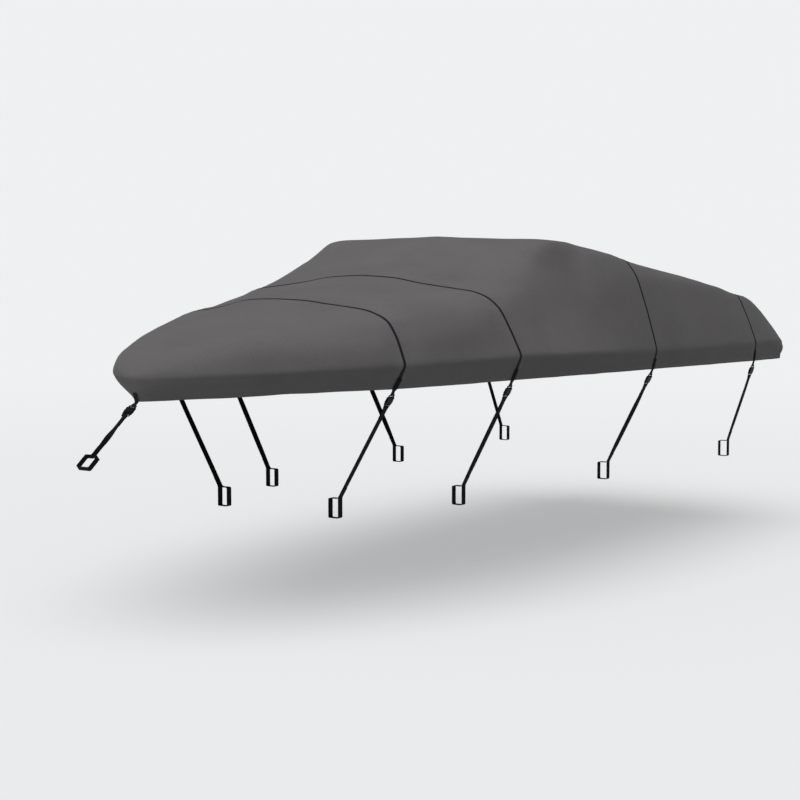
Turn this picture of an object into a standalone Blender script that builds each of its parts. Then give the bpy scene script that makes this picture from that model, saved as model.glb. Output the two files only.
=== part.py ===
"""A fitted cover for a trailered runabout, with its webbing straps and buckles.

Five woven panels meet at four cross seams. A web strap lies over each seam, hangs a buckle under
each hem and is drawn down by a wider tie-down strap. A ninth buckle and strap hold the bow.
The tables measure x aft of the stem, y to starboard and z above the ground. The object's own
origin is the underside of the crown over the windscreen, with +X aft and +Z up.
"""
import math

import bpy
import bmesh
import numpy as np

# Driving sizes, in metres.
CLOTH = 0.0022
HEM_CLOTH = 0.0042
HEM_BAND = 0.030
SEAM_GAP = 0.0003
STEM_X = 0.135
NOSE_LENGTH = 0.365
TRANSOM_X = 5.56
CORNER_RADIUS = 0.14
CREST_X = 2.743
CREST_Z = 1.937
BOW_BULGE = 0.018
STERN_BULGE = 0.010
WEB_WIDTH = 0.025
WEB_THICK = 0.0014
STRAP_WIDTH = 0.038
BOW_STRAP_WIDTH = 0.026
STRAP_THICK = 0.0016
PLY_GAP = 0.0004
WEB_CLEAR = 0.0007
PATCH_WIDTH = 0.030
PATCH_LENGTH = 0.062
PATCH_FOOT = 0.006
WEB_RETURN = 0.045
BOW_TAB = 0.048
BUCKLE_DROP = 0.030
BUCKLE_LIFT = 0.004
BUCKLE_WIDTH = 0.054
BUCKLE_THICK = 0.013
FEMALE_LENGTH = 0.046
MALE_LENGTH = 0.027
BAR_LENGTH = 0.005
BAR_HALF = 0.002
SLOT_LENGTH = 0.006
STRAP_TAIL = 0.070
LAP_LENGTH = 0.060
UNTWIST = 0.160
BEND = 0.0012
RAIL_HEIGHT = 0.100
RAIL_WIDTH = 0.060
RAIL_CORNER = 0.008
RAIL_CLEAR = 0.0005
HEM_TUCK = 0.012
SEAM_LAND = 0.016
SEAMS = (1.24, 1.99, 3.44, 4.95)

# A row per section: crown, knuckle and hem heights, and half-widths at knuckle and hem.
SECTIONS = np.array([
    # x      crown  knuckle hem    wide   hemwide
    [0.135, 1.258, 1.256, 1.136, 0.000, 0.000],
    [0.170, 1.300, 1.256, 1.137, 0.131, 0.042],
    [0.220, 1.345, 1.257, 1.138, 0.206, 0.085],
    [0.320, 1.392, 1.260, 1.142, 0.308, 0.172],
    [0.500, 1.447, 1.264, 1.147, 0.439, 0.320],
    [0.800, 1.516, 1.271, 1.153, 0.625, 0.470],
    [1.240, 1.602, 1.283, 1.160, 0.816, 0.746],
    [1.600, 1.655, 1.293, 1.165, 0.942, 0.881],
    [1.990, 1.716, 1.302, 1.169, 1.042, 0.983],
    [2.400, 1.830, 1.294, 1.166, 1.088, 1.036],
    [2.743, 1.937, 1.285, 1.161, 1.100, 1.055],
    [2.900, 1.923, 1.281, 1.159, 1.103, 1.062],
    [3.070, 1.894, 1.277, 1.156, 1.106, 1.069],
    [3.220, 1.868, 1.273, 1.154, 1.108, 1.074],
    [3.440, 1.814, 1.268, 1.151, 1.110, 1.080],
    [4.200, 1.706, 1.256, 1.136, 1.105, 1.082],
    [4.600, 1.645, 1.252, 1.129, 1.096, 1.077],
    [4.950, 1.577, 1.248, 1.121, 1.085, 1.070],
    [5.080, 1.563, 1.247, 1.119, 1.080, 1.066],
    [5.250, 1.512, 1.245, 1.116, 1.073, 1.060],
    [5.420, 1.426, 1.236, 1.113, 1.066, 1.053],
    [5.520, 1.326, 1.222, 1.112, 1.062, 1.049],
    [5.560, 1.212, 1.212, 1.112, 1.060, 1.047]])

# How far the top stays up between crown (1) and knuckle (0), by share of the half-width.
SHARES = np.array([0.0, 0.20, 0.40, 0.60, 0.70, 0.78, 0.86, 0.93, 1.0])
PROFILES = np.array([
    # x     height shares at SHARES
    [0.135, 1, 0.980, 0.930, 0.860, 0.800, 0.720, 0.590, 0.370, 0],
    [0.500, 1, 0.980, 0.930, 0.860, 0.800, 0.720, 0.590, 0.370, 0],
    [1.240, 1, 0.985, 0.935, 0.885, 0.850, 0.790, 0.690, 0.450, 0],
    [1.990, 1, 0.975, 0.900, 0.840, 0.810, 0.750, 0.615, 0.340, 0],
    [2.400, 1, 0.985, 0.960, 0.945, 0.860, 0.680, 0.440, 0.220, 0],
    [2.743, 1, 0.990, 0.980, 0.975, 0.955, 0.700, 0.440, 0.220, 0],
    [3.070, 1, 0.995, 0.990, 0.985, 0.980, 0.915, 0.660, 0.330, 0],
    [3.440, 1, 0.995, 0.990, 0.987, 0.985, 0.980, 0.830, 0.470, 0],
    [4.950, 1, 0.995, 0.990, 0.985, 0.980, 0.977, 0.950, 0.570, 0],
    [5.560, 1, 0.995, 0.990, 0.985, 0.980, 0.975, 0.930, 0.560, 0]])

# Soft troughs in the cloth: ends by x and signed share of the half-width, then width and depth.
FOLDS = np.array([
    # x0    share0  x1    share1  width  depth
    [0.35, -0.80, 1.10, -0.90, 0.060, 0.005],
    [0.40, 0.80, 1.12, 0.86, 0.060, 0.006],
    [1.38, -0.55, 1.92, -0.86, 0.060, 0.006],
    [1.45, 0.45, 1.90, 0.80, 0.070, 0.006],
    [2.10, -0.30, 2.60, -0.55, 0.080, 0.006],
    [2.10, 0.25, 2.62, 0.58, 0.080, 0.005],
    [2.30, -0.90, 2.95, -0.80, 0.050, 0.006],
    [2.35, 0.88, 3.00, 0.82, 0.050, 0.006],
    [2.90, -0.45, 3.38, -0.10, 0.090, 0.008],
    [2.95, 0.40, 3.36, 0.15, 0.090, 0.007],
    [3.52, -0.93, 4.30, -0.88, 0.050, 0.005],
    [3.60, 0.90, 4.40, 0.92, 0.050, 0.005],
    [3.60, -0.40, 4.85, -0.15, 0.100, 0.009],
    [3.55, 0.35, 4.80, 0.20, 0.100, 0.008],
    [5.05, -0.35, 5.45, -0.55, 0.060, 0.006],
    [5.05, 0.30, 5.44, 0.50, 0.060, 0.006]])

# Where the cloth hangs slack on the starboard side: middle by x, reach and depth.
SLACKS = ((1.15, 0.44, 0.027), (1.60, 0.25, 0.026), (2.62, 0.12, 0.015))

# The trailer rail's top outer edge under each seam, where the tie-down strap turns.
RAIL_EDGES = ((0.405, 0.578), (0.680, 0.580), (0.790, 0.573), (0.895, 0.575))

# The bow strap's line in the middle plane, and the post it goes round.
BOW_HEM = 0.169
POST_TOUCH = (-0.129, 0.899)
POST_SIDE = 0.076

# Where the cloth's points lie between centre and knuckle.
TOP_STEPS = np.array([0.0, 0.12, 0.25, 0.38, 0.50, 0.60, 0.68, 0.75, 0.80, 0.86, 0.91, 0.955, 1.0])


def clear_scene():
    for item in list(bpy.data.objects):
        bpy.data.objects.remove(item, do_unlink=True)


def finish_material(name, colour, roughness):
    material = bpy.data.materials.new(name)
    material.use_nodes = True
    shader = material.node_tree.nodes["Principled BSDF"]
    shader.inputs["Base Color"].default_value = (*colour, 1.0)
    shader.inputs["Roughness"].default_value = roughness
    shader.inputs["Metallic"].default_value = 0.0
    return material


def add_mesh(name, points, faces, material, smooth=True):
    """Make one object from points in table axes, moved to the object's own origin."""
    origin = np.array([CREST_X, 0.0, CREST_Z - CLOTH])
    data = bpy.data.meshes.new(name)
    data.from_pydata((np.asarray(points) - origin).tolist(), [], faces)
    shape = bmesh.new()
    shape.from_mesh(data)
    bmesh.ops.remove_doubles(shape, verts=shape.verts, dist=0.000001)
    bmesh.ops.dissolve_degenerate(shape, edges=shape.edges, dist=0.0000005)
    bmesh.ops.recalc_face_normals(shape, faces=shape.faces)
    shape.to_mesh(data)
    shape.free()
    if smooth:
        data.shade_smooth()
        data.set_sharp_from_angle(angle=math.radians(35))
    data.materials.append(material)
    item = bpy.data.objects.new(name, data)
    bpy.context.scene.collection.objects.link(item)
    return item


def knot_slopes(knots, rows):
    """Slopes for a smooth curve through the knots that never overshoots."""
    grow = np.diff(rows, axis=0) / np.diff(knots)[:, None]
    before = grow[:-1]
    after = grow[1:]
    total = np.where(np.abs(before + after) < 1e-12, 1.0, before + after)
    middle = np.where(before * after > 0, 2 * before * after / total, 0.0)
    return np.vstack([grow[:1], middle, grow[-1:]])


def rows_between(knots, rows, at, own_column=False):
    """Read the rows at each place. With own_column, place i reads only column i."""
    at = np.clip(at, knots[0], knots[-1])
    slope = knot_slopes(knots, rows)
    cell = np.clip(np.searchsorted(knots, at, side="right") - 1, 0, len(knots) - 2)
    wide = knots[cell + 1] - knots[cell]
    part = (at - knots[cell]) / wide
    if own_column:
        column = np.arange(rows.shape[1])
        low, high = rows[cell, column], rows[cell + 1, column]
        leave, arrive = slope[cell, column] * wide, slope[cell + 1, column] * wide
    else:
        part, wide = part[..., None], wide[..., None]
        low, high = rows[cell], rows[cell + 1]
        leave, arrive = slope[cell] * wide, slope[cell + 1] * wide
    rise = part * part * (3 - 2 * part)
    return low + (high - low) * rise + leave * part * (1 - part)**2 - arrive * part * part * (1 - part)


def ease(value):
    value = np.clip(value, 0.0, 1.0)
    return value * value * (3 - 2 * value)


def section_at(x):
    """Crown, knuckle and hem heights, then the half-widths at knuckle and hem."""
    return rows_between(SECTIONS[:, 0], SECTIONS[:, 1:], np.asarray(x, float))


def half_width(x):
    """The knuckle line in plan: a round nose, the tabled sides and round stern corners."""
    x = np.asarray(x, float)
    nose = np.clip(x - STEM_X, 0.0, NOSE_LENGTH)
    wide = np.where(x < STEM_X + NOSE_LENGTH, 0.69 * np.sqrt(nose) + 0.06 * nose, section_at(x)[..., 3])
    into = np.clip(x - (TRANSOM_X - CORNER_RADIUS), 0.0, CORNER_RADIUS)
    return wide - (CORNER_RADIUS - np.sqrt(CORNER_RADIUS**2 - into**2))


def height_share(x, share):
    rows = rows_between(PROFILES[:, 0], PROFILES[:, 1:], x)
    table = rows.reshape(-1, len(SHARES)).T
    return rows_between(SHARES, table, np.ravel(share), own_column=True).reshape(np.shape(share))


def fold_depth(x, share):
    depth = np.zeros(np.shape(x))
    for x0, share0, x1, share1, width, deep in FOLDS:
        along_x = x1 - x0
        along_s = share1 - share0
        place = ((x - x0) * along_x + (share - share0) * along_s) / (along_x**2 + along_s**2)
        place = np.clip(place, 0.0, 1.0)
        away = np.hypot(x - x0 - place * along_x, share - share0 - place * along_s)
        depth = depth + deep * np.exp(-((away / width) ** 2))
    return depth * ease((1.0 - np.abs(share)) / 0.08)


def top_height(x, y):
    """Height of the cloth over any place inside the knuckle line."""
    x, y = np.broadcast_arrays(np.asarray(x, float), np.asarray(y, float))
    levels = section_at(x)
    signed = np.clip(y / np.maximum(half_width(x), 1e-4), -1.0, 1.0)
    share = np.abs(signed)
    slack = sum(depth * np.exp(-((x - middle) / reach) ** 2) for middle, reach, depth in SLACKS)
    slack = slack * ease((signed - 0.2) / 0.4) * (1 - share**8)
    rise = (levels[..., 0] - levels[..., 1]) * height_share(x, share)
    return levels[..., 1] + rise - slack - fold_depth(x, signed)


def hem_under(x, y):
    """The hem point that hangs under a point of the knuckle line."""
    levels = section_at(x)
    pull = (SEAMS[0] - BOW_HEM) / (SEAMS[0] - STEM_X)
    ahead = x < SEAMS[0]
    hem_x = np.where(ahead, BOW_HEM + (x - STEM_X) * pull, x - HEM_TUCK * ease((x - 5.2) / 0.3))
    hem_y = np.where(ahead, np.sign(y) * levels[4], y * levels[4] / np.maximum(levels[3], 1e-4))
    return np.array([hem_x, hem_y, levels[2]])


def skirt_bulge(start_x, knee):
    """How far the middle of the skirt stands out beside the stem and round the stern."""
    reach = knee[:2] - (start_x, 0.0)
    depth = BOW_BULGE * np.exp(-(((knee[0] - 0.42) / 0.25) ** 2)) * ease((abs(knee[1]) - 0.04) / 0.18)
    depth = depth + STERN_BULGE * ease((knee[0] - 5.25) / 0.25)
    return np.append(reach / np.linalg.norm(reach), 0.0) * depth


def line_down(start_x, knee_x, knee_y):
    """One line of the cloth, from the centre out to the knuckle and down the skirt to the hem."""
    x = start_x + TOP_STEPS * (knee_x - start_x)
    y = TOP_STEPS * knee_y
    z = top_height(x, y)
    z[-1] = section_at(knee_x)[1]
    knee = np.array([knee_x, knee_y, z[-1]])
    hem = hem_under(knee_x, knee_y)
    band = 1.0 - HEM_BAND / np.linalg.norm(hem - knee)
    skirt = [knee + (hem - knee) * share for share in (0.5 * band, band, band + 0.01, 1.0)]
    skirt[0] = skirt[0] + skirt_bulge(start_x, knee)
    return np.vstack([np.stack([x, y, z], -1), skirt])


def vertex_normals(grid):
    """Outward normals of a grid of points, from the faces round each point."""
    normal = np.zeros_like(grid)
    across = np.cross(grid[1:, 1:] - grid[:-1, :-1], grid[:-1, 1:] - grid[1:, :-1])
    for i in (0, 1):
        for j in (0, 1):
            rows = slice(i, grid.shape[0] - 1 + i)
            columns = slice(j, grid.shape[1] - 1 + j)
            normal[rows, columns] += across
    if np.mean(normal[..., 2]) < 0:
        normal = -normal
    for end in (0, -1):
        normal[end, :, 0] = 0.0
    return normal / np.maximum(np.linalg.norm(normal, axis=2, keepdims=True), 1e-12)


def add_sheet(name, grid, thick, material):
    """A closed sheet under a grid of outer points. thick has one value per column."""
    normal = vertex_normals(grid)
    if np.allclose(grid[:, 0], grid[0, 0]):
        normal[:, 0] = (0.0, 0.0, 1.0)
    inner = grid - normal * np.asarray(thick)[None, :, None]
    count, depth = grid.shape[:2]
    half = count * depth
    faces = []
    for i in range(count - 1):
        for j in range(depth - 1):
            a, b, c, d = i * depth + j, i * depth + j + 1, (i + 1) * depth + j + 1, (i + 1) * depth + j
            faces.append((a, b, c, d))
            faces.append((a + half, d + half, c + half, b + half))
    rim = [i * depth for i in range(count)]
    rim += [(count - 1) * depth + j for j in range(1, depth)]
    rim += [i * depth + depth - 1 for i in range(count - 2, -1, -1)]
    rim += list(range(depth - 2, 0, -1))
    for here, there in zip(rim, rim[1:] + rim[:1]):
        faces.append((here, there, there + half, here + half))
    return add_mesh(name, np.vstack([grid.reshape(-1, 3), inner.reshape(-1, 3)]), faces, material)


def skirt_thickness():
    return [CLOTH] * (len(TOP_STEPS) + 2) + [HEM_CLOTH] * 2


def add_cross_panel(name, start, end, inner_steps, material):
    """A panel between two seams, with its lines running from hem to hem."""
    edge = SEAM_GAP / 2
    steps = [start + edge, start + SEAM_LAND, *inner_steps, end - SEAM_LAND, end - edge]
    rows = []
    for x in steps:
        wide = float(half_width(x))
        port = line_down(x, x, -wide)
        starboard = line_down(x, x, wide)
        rows.append(np.vstack([port[::-1], starboard[1:]]))
    thick = skirt_thickness()
    return add_sheet(name, np.array(rows), thick[::-1] + thick[1:], material)


def add_end_panel(name, pole_x, half_outline, material):
    """A panel round one end, with its lines fanning out from the middle of its seam."""
    port = [(x, -y) for x, y in half_outline]
    starboard = [(x, y) for x, y in half_outline[::-1] if y > 1e-9]
    rows = [line_down(pole_x, x, y) for x, y in port + starboard]
    return add_sheet(name, np.array(rows), skirt_thickness(), material)


def bow_outline():
    start = SEAMS[0] - SEAM_GAP / 2
    sides = [start, SEAMS[0] - SEAM_LAND, 1.12, 0.98, 0.84, 0.70, 0.58]
    nose = [STEM_X + NOSE_LENGTH * (step / 9) ** 2 for step in range(9, -1, -1)]
    return [(x, float(half_width(x))) for x in sides + nose]


def stern_outline():
    start = SEAMS[3] + SEAM_GAP / 2
    corner_x = TRANSOM_X - CORNER_RADIUS
    points = [(x, float(half_width(x))) for x in (start, SEAMS[3] + SEAM_LAND, 5.06, 5.18, 5.30, corner_x)]
    corner_y = points[-1][1] - CORNER_RADIUS
    for step in range(1, 6):
        turn = math.radians(18 * step)
        points.append((corner_x + CORNER_RADIUS * math.sin(turn), corner_y + CORNER_RADIUS * math.cos(turn)))
    points += [(TRANSOM_X, corner_y * (1 - step / 6)) for step in range(1, 7)]
    return points


def unit(vector):
    return np.asarray(vector) / np.linalg.norm(vector)


def add_ribbon(name, centres, sides, width, thick, material):
    """A flat strip through centre points, with the direction of its width at each."""
    centres = np.asarray(centres, float)
    tangent = np.gradient(centres, axis=0)
    points = []
    for centre, along, side in zip(centres, tangent, sides):
        side = unit(side - along * np.dot(side, along) / np.dot(along, along))
        normal = unit(np.cross(side, along))
        for across, up in ((-0.5, -0.5), (0.5, -0.5), (0.5, 0.5), (-0.5, 0.5)):
            points.append(centre + side * across * width + normal * up * thick)
    faces = []
    last = len(centres) - 1
    for i in range(0, 4 * last, 4):
        faces += [(i, i + 1, i + 5), (i, i + 5, i + 4), (i + 1, i + 2, i + 6, i + 5)]
        faces += [(i + 2, i + 3, i + 6), (i + 3, i + 7, i + 6), (i + 3, i, i + 4, i + 7)]
    faces.append((3, 2, 1, 0))
    faces.append((4 * last, 4 * last + 1, 4 * last + 2, 4 * last + 3))
    return add_mesh(name, points, faces, material)


def round_corners(points, radius, steps=4):
    """Replace each inner corner of a line by a short curve."""
    points = [np.asarray(point, float) for point in points]
    line = [points[0]]
    for before, corner, after in zip(points, points[1:], points[2:]):
        back = before - corner
        ahead = after - corner
        reach = min(radius, 0.45 * np.linalg.norm(back), 0.45 * np.linalg.norm(ahead))
        start = corner + unit(back) * reach
        end = corner + unit(ahead) * reach
        for step in range(steps + 1):
            part = step / steps
            line.append(start * (1 - part)**2 + corner * 2 * part * (1 - part) + end * part**2)
    line.append(points[-1])
    return line


def hem_frame(seam_x, side):
    """Where a buckle hangs: the hem point, the way down to the rail, outwards and across."""
    hem = line_down(seam_x, seam_x, float(half_width(seam_x)) * side)[-1]
    edge_y, edge_z = RAIL_EDGES[SEAMS.index(seam_x)]
    down = unit([0.0, edge_y * side - hem[1], edge_z - hem[2]])
    across = np.array([1.0, 0.0, 0.0])
    out = np.cross(across, down)
    if out[1] * side < 0:
        out = -out
    return hem, down, out, across


def web_end(hem, down, out):
    """The web past the hem: once round the buckle's bar and back on its outer side."""
    centre = BUCKLE_LIFT
    near = WEB_CLEAR + WEB_THICK / 2
    far = near + WEB_THICK + PLY_GAP
    bar = BUCKLE_DROP
    wrap = BAR_HALF + PLY_GAP + WEB_THICK / 2
    end = bar + BAR_LENGTH + PLY_GAP + WEB_THICK / 2
    route = [(0.014, near), (bar - 0.002, centre - wrap), (end, centre - wrap), (end, centre + wrap),
             (bar - 0.002, centre + wrap), (0.014, far)]
    return [hem + down * length + out * lift for length, lift in route]


def add_web(name, seam_x, material):
    """The narrow web over one seam, with a loop for a buckle at each end."""
    centres = []
    sides = []
    lift = WEB_CLEAR + WEB_THICK / 2
    lines = {}
    for shift in (-0.5, 0.0, 0.5):
        x = seam_x + shift * WEB_WIDTH
        wide = float(half_width(x))
        lines[shift] = [line_down(x, x, wide * side) for side in (-1, 1)]
    for index, side in enumerate((-1, 1)):
        middle = lines[0.0][index]
        across = lines[0.5][index] - lines[-0.5][index]
        along = np.gradient(middle, axis=0)
        normal = np.cross(across, along) * side
        normal = normal / np.linalg.norm(normal, axis=1, keepdims=True)
        skirt = len(TOP_STEPS)
        keep = list(range(skirt)) + [skirt, len(middle) - 1]
        cover = [middle[k] + normal[k] * lift for k in keep]
        hem, down, out, level = hem_frame(seam_x, side)
        knee_to_hem = unit(middle[-1] - middle[skirt - 1])
        up_out = np.cross(across[-1], knee_to_hem) * side
        up_out = unit(up_out)
        loop = web_end(hem, down, out)
        far = lift + WEB_THICK + PLY_GAP
        back = [hem + up_out * far - knee_to_hem * PATCH_FOOT * 0.3, hem + up_out * far - knee_to_hem * WEB_RETURN]
        tail = round_corners([cover[-1], *loop, *back], BEND, 2)[1:]
        route = cover + tail
        hanging = 3 * len(loop)
        width_way = [*across[keep], *[level] * hanging, *[across[-1]] * (len(tail) - hanging)]
        if side < 0:
            centres = route[::-1]
            sides = width_way[::-1]
        else:
            centres = centres + route[1:]
            sides = sides + width_way[1:]
    return add_ribbon(name, centres, sides, WEB_WIDTH, WEB_THICK, material)


def add_patch(name, seam_x, side, material):
    """The short wide piece sewn over the web's return on the skirt."""
    wide = float(half_width(seam_x)) * side
    line = line_down(seam_x, seam_x, wide)
    behind = line_down(seam_x + PATCH_WIDTH, seam_x + PATCH_WIDTH, float(half_width(seam_x + PATCH_WIDTH)) * side)
    hem = line[-1]
    across = unit(behind[-1] - hem)
    down = unit(hem - line[len(TOP_STEPS) - 1])
    out = np.cross(across, down)
    if out[1] * side < 0:
        out = -out
    lift = WEB_CLEAR + 2 * WEB_THICK + 2 * PLY_GAP + STRAP_THICK / 2
    centres = [hem - down * (PATCH_FOOT + PATCH_LENGTH * step / 2) + out * lift for step in (0, 1, 2)]
    return add_ribbon(name, centres, [across] * 3, PATCH_WIDTH, STRAP_THICK, material)


def strap_start(hem, down, out):
    """The wide strap's tail, its turn round the buckle's lower bar and its way on."""
    foot = BUCKLE_DROP + FEMALE_LENGTH + MALE_LENGTH
    wrap = BAR_HALF + PLY_GAP + STRAP_THICK / 2
    slot = foot - BAR_LENGTH - PLY_GAP - STRAP_THICK / 2
    ply = (STRAP_THICK + PLY_GAP) / 2
    route = [(foot + STRAP_TAIL, -ply), (foot + 0.022, -ply), (foot + 0.003, -wrap), (slot, -wrap),
             (slot, wrap), (foot + 0.003, wrap), (foot + 0.022, ply)]
    return [hem + down * length + out * (BUCKLE_LIFT + lift) for length, lift in route]


def add_tie_down(name, seam_x, side, material):
    """A strap from the buckle to the rail, once round the rail and lapped on itself."""
    hem, down, out, across = hem_frame(seam_x, side)
    edge, top = RAIL_EDGES[SEAMS.index(seam_x)]
    off = RAIL_CLEAR + STRAP_THICK / 2
    head = strap_start(hem, down, out)
    turn = np.array([seam_x, (edge - 0.003) * side, top + off])
    lean = unit(turn - head[-1])
    outer = unit([0.0, -lean[2] * side, lean[1] * side])
    if outer[1] * side < 0:
        outer = -outer
    lap = STRAP_THICK + PLY_GAP
    lap_foot = turn + outer * lap
    rise = ((edge + off) * side - lap_foot[1]) / -lean[1]
    fold = lap_foot - lean * rise
    low = top - RAIL_HEIGHT - off
    loop = [(edge - RAIL_WIDTH - off, top + off), (edge - RAIL_WIDTH - off, low), (edge + off, low)]
    around = [np.array([seam_x, y * side, z]) for y, z in loop]
    route = [turn, *around, fold, fold - lean * LAP_LENGTH]
    free = [head[-1] + lean * length for length in (0.045, 0.090, 0.150)]
    centres = round_corners([*head, free[0]], BEND, 2) + free[1:]
    centres += round_corners([free[-1], *route], RAIL_CORNER, 2)[1:]
    reach = [np.dot(centre - hem, down) for centre in centres]
    ahead = np.array([1.0, 0.0, 0.0])
    begin = BUCKLE_DROP + FEMALE_LENGTH + MALE_LENGTH
    untwist = [ease((length - begin) / UNTWIST) for length in reach]
    sides = [across * (1 - share) + ahead * share for share in untwist]
    return add_ribbon(name, centres, sides, STRAP_WIDTH, STRAP_THICK, material)


def bow_frame():
    hem = line_down(SEAMS[0], STEM_X, 0.0)[-1]
    down = unit(np.array([POST_TOUCH[0], 0.0, POST_TOUCH[1]]) - hem)
    out = np.array([down[2], 0.0, -down[0]])
    return hem, down, out, np.array([0.0, 1.0, 0.0])


def add_bow_web(name, material):
    """The narrow web sewn up the stem, with its buckle loop under the hem."""
    hem, down, out, across = bow_frame()
    line = line_down(SEAMS[0], STEM_X, 0.0)
    skirt = unit(hem - line[len(TOP_STEPS) - 1])
    skin = np.array([skirt[2], 0.0, -skirt[0]])
    lift = WEB_CLEAR + WEB_THICK / 2
    start = [hem - skirt * BOW_TAB + skin * lift, hem + skin * lift]
    centres = round_corners([*start, *web_end(hem, down, out)], BEND, 2)
    return add_ribbon(name, centres, [across] * len(centres), WEB_WIDTH, WEB_THICK, material)


def add_bow_strap(name, material):
    """The bow's strap: a quarter twist, then once round the square post and lapped on itself."""
    hem, down, out, across = bow_frame()
    head = strap_start(hem, down, out)
    touch = np.dot(np.array([POST_TOUCH[0], 0.0, POST_TOUCH[1]]) - hem, down)
    lift = BUCKLE_LIFT + (STRAP_THICK + PLY_GAP) / 2
    half = POST_SIDE / 2 + RAIL_CLEAR + STRAP_THICK / 2
    lap = STRAP_THICK + PLY_GAP
    begin = BUCKLE_DROP + FEMALE_LENGTH + MALE_LENGTH + STRAP_TAIL
    end = touch - LAP_LENGTH
    loop = [(end, 0.0), (touch, 0.0), (touch, -half), (touch + 2 * half, -half),
            (touch + 2 * half, half), (touch, half), (touch, lap), (end, lap)]
    around = [hem + down * length + out * lift + across * y for length, y in loop]
    twist = hem + down * begin + out * lift
    straight = [twist + (around[0] - twist) * step / 5 for step in range(5)]
    bends = round_corners([*head, straight[0]], BEND, 2)
    centres = bends + straight[1:] + round_corners(around, RAIL_CORNER, 2)
    sides = []
    for centre in centres:
        turn = ease((np.dot(centre - hem, down) - begin) / (end - begin)) * math.pi / 2
        sides.append(across * math.cos(turn) + out * math.sin(turn))
    twisted = len(bends) + len(straight) - 1
    sides[twisted:] = [out] * (len(centres) - twisted)
    return add_ribbon(name, centres, sides, BOW_STRAP_WIDTH, STRAP_THICK, material)


def block(low, high, bevel=0.0):
    """A box between two corners, as a scene object with an optional bevel."""
    data = bpy.data.meshes.new("block")
    shape = bmesh.new()
    bmesh.ops.create_cube(shape, size=1.0)
    centre = (np.array(low) + np.array(high)) / 2
    size = np.array(high) - np.array(low)
    for vert in shape.verts:
        vert.co = centre + np.array(vert.co) * size
    shape.to_mesh(data)
    shape.free()
    item = bpy.data.objects.new("block", data)
    bpy.context.scene.collection.objects.link(item)
    if bevel > 0.0:
        rounding = item.modifiers.new("rounding", "BEVEL")
        rounding.width = bevel
        rounding.segments = 1
    return item


def solid_template(base, joined, removed):
    """Union and cut blocks, and return the result's points and faces."""
    helpers = joined + removed
    for item in helpers:
        item.hide_render = True
        item.display_type = "WIRE"
        step = base.modifiers.new("step", "BOOLEAN")
        step.operation = "UNION" if item in joined else "DIFFERENCE"
        step.solver = "EXACT"
        step.object = item
    bpy.context.view_layer.update()
    graph = bpy.context.evaluated_depsgraph_get()
    made = base.evaluated_get(graph).to_mesh()
    points = np.array([vert.co[:] for vert in made.vertices])
    faces = [tuple(face.vertices) for face in made.polygons]
    for item in helpers + [base]:
        bpy.data.objects.remove(item, do_unlink=True)
    return points, faces


def both_sides(low, high):
    """A box and its mirror across the middle plane."""
    mirrored = ((-high[0], low[1], low[2]), (-low[0], high[1], high[2]))
    return [block(low, high), block(*mirrored)]


def socket_template():
    """The buckle's upper half: a web bar, a pocket for the prongs and a window at each side."""
    half = BUCKLE_WIDTH / 2
    deep = BUCKLE_THICK / 2
    web = WEB_WIDTH / 2 + 0.002
    slot_end = BAR_LENGTH + SLOT_LENGTH
    body = block((-half, 0, -deep), (half, FEMALE_LENGTH, deep), 0.003)
    cuts = [block((-web, BAR_LENGTH, -0.01), (web, slot_end, 0.01)),
            block((-web, -0.001, BAR_HALF), (web, slot_end + 0.001, 0.01)),
            block((-web, -0.001, -0.01), (web, slot_end + 0.001, -BAR_HALF)),
            block((-0.0215, 0.0145, -0.0038), (0.0215, FEMALE_LENGTH + 0.001, 0.0038))]
    cuts += both_sides((0.016, 0.022, -0.0034), (0.028, 0.034, 0.0034))
    return solid_template(body, [], cuts)


def plug_template():
    """The buckle's lower half: a tongue, two sprung prongs and the bar for the wide strap."""
    half = BUCKLE_WIDTH / 2 - 0.001
    top = FEMALE_LENGTH + PLY_GAP
    foot = FEMALE_LENGTH + MALE_LENGTH
    strap = STRAP_WIDTH / 2 + 0.001
    slot_end = foot - BAR_LENGTH
    body = block((-half, top, -0.0055), (half, foot, 0.0055), 0.002)
    prongs = [block((-0.006, 0.020, -0.0026), (0.006, top + 0.003, 0.0026))]
    prongs += both_sides((0.0120, 0.024, -0.0026), (0.0165, top + 0.003, 0.0026))
    prongs += both_sides((0.0130, 0.0225, -0.0028), (0.0262, 0.0325, 0.0028))
    cuts = [block((-strap, slot_end - SLOT_LENGTH, -0.01), (strap, slot_end, 0.01)),
            block((-strap, slot_end - SLOT_LENGTH - 0.001, BAR_HALF), (strap, foot + 0.001, 0.01)),
            block((-strap, slot_end - SLOT_LENGTH - 0.001, -0.01), (strap, foot + 0.001, -BAR_HALF)),
            block((-0.016, top + 0.0045, -0.01), (0.016, top + 0.0080, 0.01))]
    return solid_template(body, prongs, cuts)


def add_buckle_half(name, template, frame, material):
    hem, down, out, across = frame
    points, faces = template
    place = hem + down * BUCKLE_DROP + out * BUCKLE_LIFT
    moved = place + points[:, :1] * across + points[:, 1:2] * down + points[:, 2:] * out
    return add_mesh(name, moved, faces, material, smooth=False)


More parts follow.
